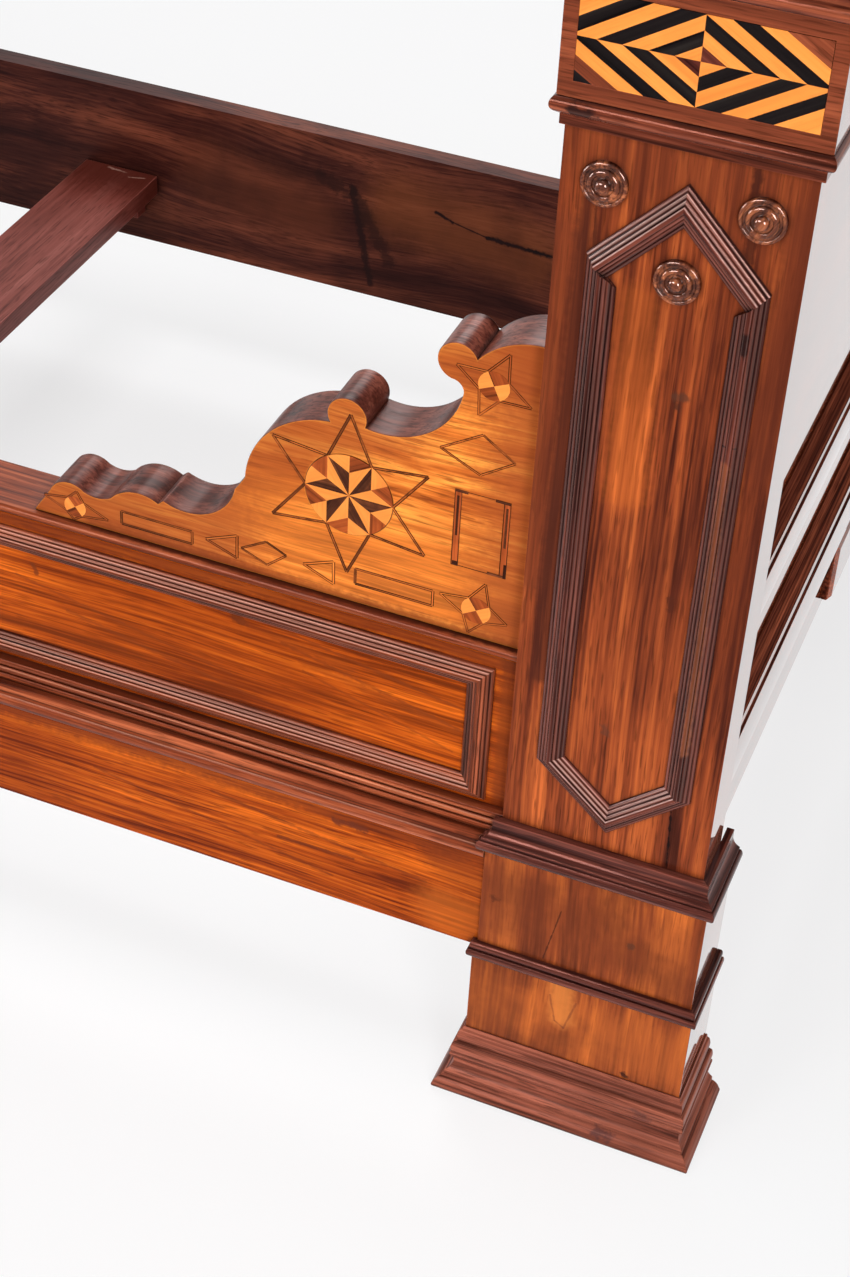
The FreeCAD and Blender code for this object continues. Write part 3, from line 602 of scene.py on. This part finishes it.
# The crest colours of the next three woods are painted highlights on their reeds.
STRIP_MOULDING = wood(
    "strip_walnut", (0.09, 0.016, 0.006), (0.25, 0.048, 0.016), (0.42, 0.105, 0.04),
    band=0.01, polish=EDGE_POLISH, marks=CAP_MARKS, corner_shade=1.0, worn=0.55,
    crest=(0.7, 0.3, 0.18), groove=0.8)
HEXAGON_REED = wood(
    "hexagon_reed_walnut", (0.03, 0.007, 0.005), (0.085, 0.019, 0.012), (0.17, 0.042, 0.026),
    band=0.008, polish=MOULDED_POLISH, marks=STICK_MARKS, near_shade=0.2,
    worn=0.62, crest=(0.7, 0.43, 0.37), groove=0.8)
FRAME_REED = wood(
    "frame_reed_walnut", (0.04, 0.008, 0.004), (0.15, 0.03, 0.011), (0.3, 0.068, 0.026),
    band=0.008, polish=EDGE_POLISH, near_shade=0.2,
    worn=0.62, crest=(0.85, 0.4, 0.29), groove=0.9)
TURNED = wood(
    "turned_walnut", (0.02, 0.006, 0.004), (0.13, 0.032, 0.014), (0.5, 0.15, 0.055), contrast=(0.3, 0.7),
    line_share=0.1, band=0.012, polish=TURNED_POLISH, corner_shade=1.0, near_shade=0.2,
    spots=(30.0, 0.4), relief=0.0)
print("materials", len(bpy.data.materials))

# %% Woods of edges and inner faces
BRACKET_EDGE = wood(
    "bracket_edge_walnut", (0.05, 0.012, 0.008), (0.13, 0.033, 0.022), (0.22, 0.066, 0.044),
    band=0.02, polish=EDGE_POLISH)
INNER = wood(
    "inner_walnut", (0.02, 0.004, 0.0035), (0.072, 0.017, 0.011), (0.19, 0.05, 0.026),
    fibre_share=0.3, contrast=(0.32, 0.68), band=0.05, line=0.014, sway=0.08,
    polish=DULL_POLISH, marks=FAR_MARKS, spots=(8.0, 0.5))
SLAT = wood(
    "slat_wood", (0.1, 0.018, 0.011), (0.2, 0.046, 0.034), (0.28, 0.082, 0.064), contrast=(0.3, 0.7),
    band=0.014, polish=DULL_POLISH, marks=SLAT_MARKS, worn=0.6)
print("woods", [m.name for m in bpy.data.materials if m.use_nodes])

# %% [markdown]
# ## Eased pieces
# A maker runs a block plane along every sharp edge, and that thin round catches the light. Here a
# copy of each solid of the model gets a small bevel. The imported meshes list one solid after
# another, and a solid is complete when every edge has met its partner, so the copies never weld
# two boards together. Grain space is written on the points while a solid is still on its own. On a
# reeded stick the grooves between reeds get painted shade and the crests get a painted highlight,
# strongest where they face up, so both are marked on its points too.

# %% Solids of a node
FLAT = math.radians(0.4)
SAME_SPOT = 1e-6


def face_runs(mesh):
    """Ranges of faces that close on themselves, one range for each solid."""
    unmet = set()
    first = 0
    for face in mesh.polygons:
        spots = [mesh.vertices[i].co.to_tuple(6) for i in face.vertices]
        for edge in zip(spots, spots[1:] + spots[:1]):
            unmet ^= {edge if edge[::-1] not in unmet else edge[::-1]}
        if not unmet:
            yield range(first, face.index + 1)
            first = face.index + 1


def solid_copies(name):
    """One merged bmesh for each solid of a node."""
    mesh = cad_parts[name].data
    for run in face_runs(mesh):
        solid = bmesh.new()
        solid.from_mesh(mesh)
        solid.faces.ensure_lookup_table()
        others = [f for f in solid.faces if f.index not in run]
        bmesh.ops.delete(solid, geom=others, context="FACES")
        bmesh.ops.remove_doubles(solid, verts=solid.verts, dist=SAME_SPOT)
        bmesh.ops.dissolve_limit(solid, angle_limit=FLAT, verts=solid.verts, edges=solid.edges)
        yield solid


print("solids", sum(len(list(face_runs(cad_node.data))) for cad_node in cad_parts.values()))

# %% Eased edges and worn reeds
SHARP = math.radians(38.0)
LONG_EDGE = 0.03
REED_BEND = 0.2
GROOVE_HALF = CREST_HALF = 0.0009
SIDE_CREST = 0.13
FULL_LIFT = 0.4


def ease(solid, width):
    """Round the outside edges of a solid and mark the crown of each round as worn."""
    worn = solid.verts.layers.float.new("worn")
    edges = [e for e in solid.edges if e.is_manifold and e.is_convex and e.calc_face_angle() > SHARP]
    if width and edges:
        made = bmesh.ops.bevel(
            solid, geom=edges, offset=width, offset_type="OFFSET", affect="EDGES",
            segments=2, profile=0.5, material=-1, clamp_overlap=True)
        rounds = set(made["faces"])
        for vert in made["verts"]:
            vert[worn] = float(rounds.issuperset(vert.link_faces))


def mark_reeds(solid, reed_half):
    """Mark the grooves of a reeded stick for painted shade, and the crests half way between them for a
    painted highlight.
    """
    worn = solid.verts.layers.float["worn"]
    groove = solid.verts.layers.float.new("groove")
    long_edges = [e for e in solid.edges if e.is_manifold and e.calc_length() > LONG_EDGE]
    away = {v: 0.0 for e in long_edges if e.calc_face_angle_signed() < -REED_BEND for v in e.verts}
    waiting = list(away)
    for vert in waiting:
        for edge in vert.link_edges:
            other = edge.other_vert(vert)
            if edge.calc_length() < LONG_EDGE and other not in away:
                away[other] = away[vert] + edge.calc_length()
                waiting.append(other)
    # Crests that face up get the strongest painted highlight, and crests on a side get a small share of it.
    for edge in long_edges:
        lift = sum(f.normal.z for f in edge.link_faces) / 2
        bright = SIDE_CREST + (1.0 - SIDE_CREST) * min(1.0, max(0.0, lift) / FULL_LIFT)
        for vert in edge.verts:
            gap = away.get(vert, LONG_EDGE)
            vert[groove] = max(0.0, 1.0 - gap / GROOVE_HALF)
            vert[worn] = bright * max(0.0, 1.0 - abs(gap - reed_half) / CREST_HALF)


# %% Grain of a solid
LENGTHWISE, CROSSWISE, UPRIGHT = (row.copy() for row in Matrix.Identity(3))
PARALLEL = 0.9
GOLDEN_SHARE = 0.618
board_count = 0


def board_number():
    """A number from 0 to 1 for the next board, far from the numbers of the boards before it."""
    global board_count
    board_count += 1
    return math.fmod(board_count * GOLDEN_SHARE, 1.0)


def lay_grain(solid, axis, number):
    """Write along, across and through distances from the solid's middle, and the board's number."""
    if axis is None:
        longest = max(solid.edges, key=lambda e: e.calc_length())
        axis = (longest.verts[1].co - longest.verts[0].co).normalized()
    side = LENGTHWISE if abs(axis.y) > PARALLEL else CROSSWISE
    across = side.cross(axis)
    spots = [v.co for v in solid.verts]
    low = Vector([min(s[i] for s in spots) for i in range(3)])
    high = Vector([max(s[i] for s in spots) for i in range(3)])
    middle = (low + high) / 2
    grain = solid.verts.layers.float_vector.new("grain")
    board = solid.verts.layers.float.new("board")
    for vert in solid.verts:
        away = vert.co - middle
        vert[grain] = (away.dot(axis), away.dot(across), away.dot(side))
        vert[board] = number


# %% Which faces take another wood
FACING = 0.6
SQUARE_ON, LEVEL, BROAD_AREA = 0.8, 0.05, 0.0045


def looks_along(face):
    """True for a face that looks along the bed."""
    return abs(face.normal.x) > FACING


def looks_to_foot(face):
    return face.normal.x > FACING


def looks_to_head(face):
    return face.normal.x < -FACING


def broad_flat(face):
    """True for the upright or undercut flat of an end moulding, and not for a fillet or a slope."""
    return abs(face.normal.x) > SQUARE_ON and face.normal.z < LEVEL and face.calc_area() > BROAD_AREA


def looks_up_or_along(face):
    """True for a face that does not look across the bed."""
    return abs(face.normal.y) < FACING


# %% Piece from bmesh
SMOOTH = math.radians(32.0)


def finished(name, mesh_parts, materials, body, slot, *nodes):
    """Join bmesh parts in one object, shade it by angle, hang it on its body and hide any nodes it stands
    for.
    """
    data = bpy.data.meshes.new(name)
    whole = bmesh.new()
    for part in mesh_parts:
        part.to_mesh(data)
        part.free()
        whole.from_mesh(data)
    for face in whole.faces:
        face.smooth = True
    for edge in whole.edges:
        edge.smooth = edge.is_manifold and edge.calc_face_angle() < SMOOTH
    whole.to_mesh(data)
    whole.free()
    for material in materials:
        data.materials.append(material)
    piece = bpy.data.objects.new(name, data)
    scene.collection.objects.link(piece)
    piece.modifiers.new("flat_faces_stay_flat", "WEIGHTED_NORMAL").keep_sharp = True
    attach(piece, body)
    if nodes:
        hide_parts(*nodes)
    return piece


def dress(name, material, slot, width=0.0, axis=None, body="frame", other=None, other_way=looks_along,
          reed_half=0.0):
    """Eased and grained copy of a node that stands for it; faces along other_way take another wood."""
    parts = []
    for solid in solid_copies(name):
        ease(solid, width)
        if reed_half:
            mark_reeds(solid, reed_half)
        lay_grain(solid, axis, board_number())
        for face in solid.faces:
            face.material_index = int(bool(other) and other_way(face))
        parts.append(solid)
    return finished("polished_" + name, parts, [material, other or material], body, slot, name)


# %% Dress the posts
ends = ("foot", "head")
corners = [f"{end}_{side}" for end in ends for side in ("near", "far")]
for corner in corners:
    dress(corner + "_post", PILASTER, "walnut", 0.0012, UPRIGHT, other=PILASTER_END)
    dress(corner + "_plinth_casing", PLINTH, "walnut", 0.001, UPRIGHT, other=PILASTER_END)
    dress(corner + "_base_moulding", BASE, "moulding_walnut", 0.0006)
    dress(corner + "_plinth_mouldings", PLINTH_MOULDING, "moulding_walnut", 0.0004)
    dress(corner + "_frieze_casing", FRIEZE, "walnut", 0.0008, other=PILASTER_END)
    dress(corner + "_frieze_mouldings", MOULDING, "moulding_walnut", 0.0004)
print("boards so far", board_count)

# %% Dress the show side
FINE_REED = 0.0019
RAIL_REED = 0.0032
for end in ends:
    near = end + "_near_"
    dress(near + "hexagon_moulding", HEXAGON_REED, "moulding_walnut", reed_half=FINE_REED)
    dress(near + "bosses", TURNED, "moulding_walnut")
    dress(near + "bracket", BRACKET, "walnut", 0.0016, LENGTHWISE, other=BRACKET_EDGE,
          other_way=looks_up_or_along)
dress("near_rail_front_board", RAIL, "walnut", 0.001)
dress("near_rail_skirt", RAIL, "walnut", 0.0012)
dress("near_rail_panel_frame", FRAME_REED, "moulding_walnut", reed_half=FINE_REED)
for moulding in ("ovolo", "reeds", "cap"):
    dress("near_rail_" + moulding, STRIP_MOULDING, "moulding_walnut", 0.0003, reed_half=RAIL_REED)
dress("near_rail_inner_board", INNER, "dark_walnut", 0.001)
print("boards so far", board_count)

# %% Dress the ends, the far rail and the slats
for end in ends:
    outward = looks_to_foot if end == "foot" else looks_to_head
    dress(end + "_panel", PLINTH, "walnut", 0.001, CROSSWISE, other=PILASTER_END, other_way=outward)
    dress(end + "_frieze_rail", PLINTH, "walnut", 0.001)
    dress(end + "_cross_mouldings", END_MOULDING, "moulding_walnut", 0.0008, other=PILASTER_END,
          other_way=broad_flat)
    dress(end + "_tablet", END_MOULDING, "walnut", 0.0008, other=PILASTER_END)
    dress(end + "_cap", MOULDING, "walnut")
dress("far_rail", INNER, "dark_walnut", 0.0012)
for place in ("head", "middle", "foot"):
    dress("slat_" + place, SLAT, "slat_wood", 0.0014, body="slat_" + place)
dress("slat_cleats", SLAT, "slat_wood", 0.001)
dress("rail_pegs", SLAT, "slat_wood", 0.0006)
print("boards in all", board_count)

# %% [markdown]
# ## Inlay woods
# The parquetry is cut from yellow satinwood, black and dark brown woods and two red-brown ones.
# Lines are let in as thin strips with a dark glue line on each side of a paler core. They share the
# walnut's node group, with finer bands and hardly any growth lines.

# %% Veneers
def veneer_wood(name, dark, middle, light, line_share, corner_shade=0.2, **looks):
    """Thin wood, clean and hardly worn."""
    return wood(name, dark, middle, light, line_share=line_share, pore_share=0.15, band=0.012, sway=0.004,
                corner_shade=corner_shade, near_shade=0.2, worn=0.1, **looks)


SATINWOOD = veneer_wood(
    "satinwood", (0.72, 0.21, 0.04), (0.85, 0.27, 0.052), (0.95, 0.33, 0.07), 0.1, 0.3,
    contrast=(0.2, 0.8), spots=(40.0, 0.3))
EBONY = veneer_wood(
    "ebony", (0.009, 0.007, 0.007), (0.012, 0.009, 0.009), (0.015, 0.012, 0.011), 0.0, polish=DEAD_POLISH)
BOG_OAK = veneer_wood(
    "bog_oak", (0.03, 0.009, 0.005), (0.075, 0.022, 0.01), (0.15, 0.042, 0.016), 0.2, spots=(90.0, 0.5))
ROSEWOOD = veneer_wood(
    "rosewood", (0.17, 0.034, 0.01), (0.32, 0.062, 0.014), (0.46, 0.092, 0.02), 0.3, spots=(60.0, 0.4))
MAROON = veneer_wood("maroon_wood", (0.05, 0.012, 0.009), (0.09, 0.02, 0.014), (0.14, 0.034, 0.022), 0.2)
STRINGING = veneer_wood(
    "stringing", (0.025, 0.008, 0.004), (0.085, 0.022, 0.008), (0.2, 0.05, 0.014), 0.1, spots=(140.0, 0.6))
CORE = veneer_wood(
    "stringing_core", (0.1, 0.026, 0.008), (0.3, 0.07, 0.014), (0.5, 0.125, 0.022), 0.1, spots=(110.0, 0.9))
VENEERS = [SATINWOOD, EBONY, BOG_OAK, ROSEWOOD, MAROON, STRINGING, CORE, BRACKET, FRIEZE]
LIGHT, BLACK_WOOD, DARK, RED, DEEP, LINE, LINE_CORE, GROUND, FIELD = range(len(VENEERS))
print("veneers", [v.name for v in VENEERS])

# %% [markdown]
# ## Veneer plates
# Every veneer is a real plate: a few corners make a face, and one extrusion gives it thickness. It
# stands a hair proud of its ground, as old veneer does when the wood round it has shrunk. A frame
# of stringing is the same face inset by the width of the line, with its middle taken out.

# %% Veneer helpers
MM = 0.001
VENEER = 0.9
STAR_PROUD = 0.16


class Face:
    """An upright face to inlay: a point (u, z) in millimetres from its start goes to x, its y, and z."""

    def __init__(self, start_x, y, flip, start_z=0.0):
        self.start_x, self.y, self.start_z = start_x, y, start_z
        self.flip = -1.0 if flip else 1.0

    def spot(self, point):
        return Vector((self.flip * (self.start_x + point[0]), self.y, self.start_z + point[1])) * MM


def plate(ground, points, proud, veneer, border=0.0):
    """Thin plate, or a frame of the given border, standing proud of its ground in millimetres."""
    solid = bmesh.new()
    lift = Vector((0.0, -proud * MM, 0.0))
    face = solid.faces.new([solid.verts.new(ground.spot(p) + lift) for p in points])
    if border:
        solid.normal_update()
        bmesh.ops.inset_region(solid, faces=[face], thickness=border * MM, use_even_offset=True,
                               use_boundary=True)
        bmesh.ops.delete(solid, geom=[face], context="FACES_ONLY")
    grown = bmesh.ops.extrude_face_region(solid, geom=list(solid.faces), use_keep_orig=True)
    back = [v for v in grown["geom"] if isinstance(v, bmesh.types.BMVert)]
    bmesh.ops.translate(solid, verts=back, vec=Vector((0.0, VENEER * MM, 0.0)))
    bmesh.ops.recalc_face_normals(solid, faces=solid.faces)
    for side in solid.faces:
        side.material_index = veneer
    return solid


# %% Strips and bands
LINE_PROUD = 0.1
CORE_PROUD = 0.13
CORE_SHARE = 0.42


def strip(ground, start, end, width, proud, veneer):
    """Straight strip of veneer between two points."""
    a, b = Vector(start), Vector(end)
    run = (b - a).normalized() * (width / 2)
    side = Vector((-run.y, run.x))
    return plate(ground, [a - side, b - side, b + side, a + side], proud, veneer)


def banding(ground, start, end, width, core=LINE_CORE, core_share=CORE_SHARE):
    """Strip with a dark edge on each side of its core."""
    return [strip(ground, start, end, width, LINE_PROUD, LINE),
            strip(ground, start, end, width * core_share, CORE_PROUD, core)]


def banded_outline(ground, points, width, core=LINE_CORE, core_share=CORE_SHARE):
    """Banding along each side of a polygon."""
    sides = zip(points, points[1:] + points[:1])
    return [p for start, end in sides for p in banding(ground, start, end, width, core, core_share)]


def polar(centre, radius, degrees):
    angle = math.radians(degrees)
    return (centre[0] + radius * math.cos(angle), centre[1] + radius * math.sin(angle))


def inlaid(name, plates, *nodes):
    """Piece of veneer plates, each with a grain along its own longest edge."""
    for solid in plates:
        lay_grain(solid, None, board_number())
    return finished(name, plates, VENEERS, "frame", "inlay", *nodes)


# %% [markdown]
# ## The compass star of a bracket
# A round star of six points fills a circle. Each point is split into a light and a dark half, and
# each gap between two points into a light and a red piece. Six rays of stringing spread from it.
# All of it follows from one circle, so a loop over the six points draws it.

# %% Compass star
STAR_CENTRE = (-158.8, 611.5)
STAR_RADIUS = 38.4
STAR_WAIST = STAR_RADIUS / math.sqrt(3.0)
RAY_TIP = 78.0
RAY_LINE = 2.7
ARC_STEPS = 5


def arc(centre, radius, first, last):
    step = (last - first) / ARC_STEPS
    return [polar(centre, radius, first + step * i) for i in range(ARC_STEPS + 1)]


def compass_star(ground):
    plates = []
    for tip_angle in range(0, 360, 60):
        tip = polar(STAR_CENTRE, STAR_RADIUS, tip_angle)
        before = polar(STAR_CENTRE, STAR_WAIST, tip_angle + 30)
        after = polar(STAR_CENTRE, STAR_WAIST, tip_angle - 30)
        light_gap = [after] + arc(STAR_CENTRE, STAR_RADIUS, tip_angle - 30, tip_angle)
        red_gap = [before] + arc(STAR_CENTRE, STAR_RADIUS, tip_angle, tip_angle + 30)
        for points, veneer in (([STAR_CENTRE, tip, before], LIGHT), ([STAR_CENTRE, after, tip], DARK),
                               (light_gap, LIGHT), (red_gap, RED)):
            plates.append(plate(ground, points, STAR_PROUD, veneer))
    return plates


def star_rays(ground):
    plates = []
    for tip_angle in range(30, 360, 60):
        tip = polar(STAR_CENTRE, RAY_TIP, tip_angle)
        for side in (-30, 30):
            foot = polar(STAR_CENTRE, STAR_RADIUS, tip_angle + side)
            plates += banding(ground, foot, tip, RAY_LINE)
    return plates


# %% [markdown]
# ## Small stars, lozenges and frames
# Round the compass star lie three small four-pointed stars with a quartered hub, two lozenges, two
# triangles and three frames. They are drawn by the same plates and strips.

# %% Small stars
KITE_LINE, KITE_CORE = 2.3, 0.4
KITE_HUB, SMALL_HUB = 13.0, 10.4
SHORT_REACH = 20.0
KITES = (((-42.6, 749.5), -20.0, (33.0, 33.0, 33.0, 31.0)),
         ((-44.0, 532.0), -13.0, (28.0, 30.0, 33.0, 25.0)),
         ((-413.0, 519.5), -8.0, (32.0, 17.0, 30.0, 14.0)))


def kite(ground, centre, turn, reaches):
    """Four-pointed star of thin lines with a quartered round hub."""
    plates = []
    hub = KITE_HUB if min(reaches) > SHORT_REACH else SMALL_HUB
    for quarter, reach in enumerate(reaches):
        angle = turn + 90 * quarter
        tip = polar(centre, reach, angle)
        for side in (-45, 45):
            plates += banding(ground, polar(centre, hub, angle + side), tip, KITE_LINE, GROUND, KITE_CORE)
        wedge = [centre] + arc(centre, hub, angle - 45, angle + 45)
        plates.append(plate(ground, wedge, STAR_PROUD, RED if quarter % 2 else LIGHT))
    return plates


# %% Banded panel
PANEL_SIDES = ((-68.4, -62.2), (-27.0, -21.0))
PANEL_BOTTOM, PANEL_TOP = 572.0, 647.0
PANEL_LINE, PANEL_CORE, PANEL_CORNER = 0.7, 2.0, 2.6
CORNER_STEP = 0.02


def rectangle(u0, u1, z0, z1):
    return [(u0, z0), (u1, z0), (u1, z1), (u0, z1)]


def banded_panel(ground):
    """Upright panel of two red strips with a dark core, joined by thin lines and dark corners."""
    low, high = PANEL_BOTTOM, PANEL_TOP
    left, right = PANEL_SIDES
    thin, corner = PANEL_LINE, PANEL_CORNER
    plates = []
    for u0, u1 in PANEL_SIDES:
        middle = (u0 + u1) / 2
        plates.append(plate(ground, rectangle(u0, u1, low, high), LINE_PROUD, RED))
        plates.append(plate(ground, rectangle(u0, u1, low, high), STAR_PROUD, DARK, thin))
        plates.append(strip(ground, (middle, low + 30.0), (middle, high - 6.0), PANEL_CORE, STAR_PROUD, DARK))
    for z in (low + thin, high - thin):
        plates.append(strip(ground, (left[1], z), (right[0], z), thin, LINE_PROUD, LINE))
    blocks = ((left[0], left[1] + 5.0, high - corner, high), (right[0] - 7.0, right[1], high - corner, high),
              (left[0] + 1.0, left[1], low, low + 4.5), (right[0] - 10.0, right[1], low, low + corner),
              (right[1] - corner, right[1], low, low + 14.0))
    for step, block in enumerate(blocks, 1):
        plates.append(plate(ground, rectangle(*block), STAR_PROUD + CORNER_STEP * step, DARK))
    return plates


# %% Small inlays
LOZENGE_LINE, FRAME_LINE, TRIANGLE_LINE = 2.2, 2.6, 2.8
TRIANGLE_CORE = 0.45
LOZENGES = (((-82.9, 681.7), (-48.4, 665.6), (-20.6, 684.7), (-48.3, 703.4)),
            ((-255.3, 526.8), (-231.1, 516.8), (-213.6, 532.2), (-232.0, 540.8)))
TRIANGLES = (((-288.1, 525.6), (-259.1, 514.9), (-258.9, 538.3)),
             ((-197.9, 528.9), (-170.3, 517.0), (-170.7, 540.1)))
FRAMES = ((-368.0, -301.0, 516.0, 529.0), (-151.0, -82.0, 524.0, 539.5))


def small_inlays(ground):
    plates = [p for centre, turn, reaches in KITES for p in kite(ground, centre, turn, reaches)]
    for corners_of in LOZENGES:
        plates += banded_outline(ground, corners_of, LOZENGE_LINE)
    for corners_of in TRIANGLES:
        plates += banded_outline(ground, corners_of, TRIANGLE_LINE, GROUND, TRIANGLE_CORE)
    for sides in FRAMES:
        plates += banded_outline(ground, rectangle(*sides), FRAME_LINE)
    return plates + banded_panel(ground)


# %% Inlay both brackets
POST_INNER = 894.0
BRACKET_FACE = -512.0
for end in ends:
    ground = Face(POST_INNER, BRACKET_FACE, end == "head")
    star_piece = end + "_near_star_inlay"
    inlaid("polished_" + star_piece, compass_star(ground), star_piece)
    lines = inlaid(end + "_near_bracket_lines", star_rays(ground) + small_inlays(ground))
    print(lines.name, "faces", len(lines.data.polygons))

# %% [markdown]
# ## The striped frieze
# Concentric lozenges of satinwood and ebony fill the frieze, and each quarter swaps its two woods
# with its neighbour. The stripes are sawn on a slant, which is what bisect_plane does: each is the
# quarter's rectangle with a cut on either side.

# %% Frieze stripes
FRIEZE_MIDDLE = (984.0, 1053.0)
FRIEZE_FACE = -536.3
FRIEZE_HALF = (85.0, 32.5)
STRIPE = (17.9, 10.83)
LIGHT_FIRST = (LIGHT, BLACK_WOOD) * 3 + (LIGHT, LIGHT)
DEEP_FIRST = (DEEP,) + (LIGHT, BLACK_WOOD) * 2 + (LIGHT, FIELD, FIELD)
DEEP_FIRST_LOW = DEEP_FIRST[:-1] + (BLACK_WOOD,)
QUARTERS = (((1, 1), DEEP_FIRST), ((-1, 1), LIGHT_FIRST), ((-1, -1), DEEP_FIRST_LOW), ((1, -1), LIGHT_FIRST))


def stripes(ground, way, woods):
    """Slanting stripes of one quarter, from the middle outwards."""
    half_width, half_height = FRIEZE_HALF
    middle = ground.spot((0.0, 0.0))
    slant = Vector((way[0] * ground.flip / STRIPE[0], 0.0, way[1] / STRIPE[1]))
    plates = []
    for number, veneer in enumerate(woods):
        low, high = sorted((0.0, way[0] * half_width))
        bottom, top = sorted((0.0, way[1] * half_height))
        solid = plate(ground, rectangle(low, high, bottom, top), STAR_PROUD, veneer)
        for level, outer in ((number, False), (number + 1, True)):
            at = middle + slant.normalized() * (level * MM / slant.length)
            geom = list(solid.verts) + list(solid.edges) + list(solid.faces)
            cut = bmesh.ops.bisect_plane(
                solid, geom=geom, dist=1e-7, plane_co=at, plane_no=slant,
                clear_outer=outer, clear_inner=not outer)
            rim = [e for e in cut["geom_cut"] if isinstance(e, bmesh.types.BMEdge)]
            if rim:
                bmesh.ops.contextual_create(solid, geom=rim)
        bmesh.ops.recalc_face_normals(solid, faces=solid.faces)
        for face in solid.faces:
            face.material_index = veneer
        plates.append(solid)
    return plates


# %% Inlay both friezes
for end in ends:
    ground = Face(FRIEZE_MIDDLE[0], FRIEZE_FACE, end == "head", FRIEZE_MIDDLE[1])
    quarters = [p for way, woods in QUARTERS for p in stripes(ground, way, woods)]
    panel_name = end + "_near_marquetry"
    frieze = inlaid("polished_" + panel_name, quarters, panel_name)
    print(frieze.name, "stripes", len(quarters))
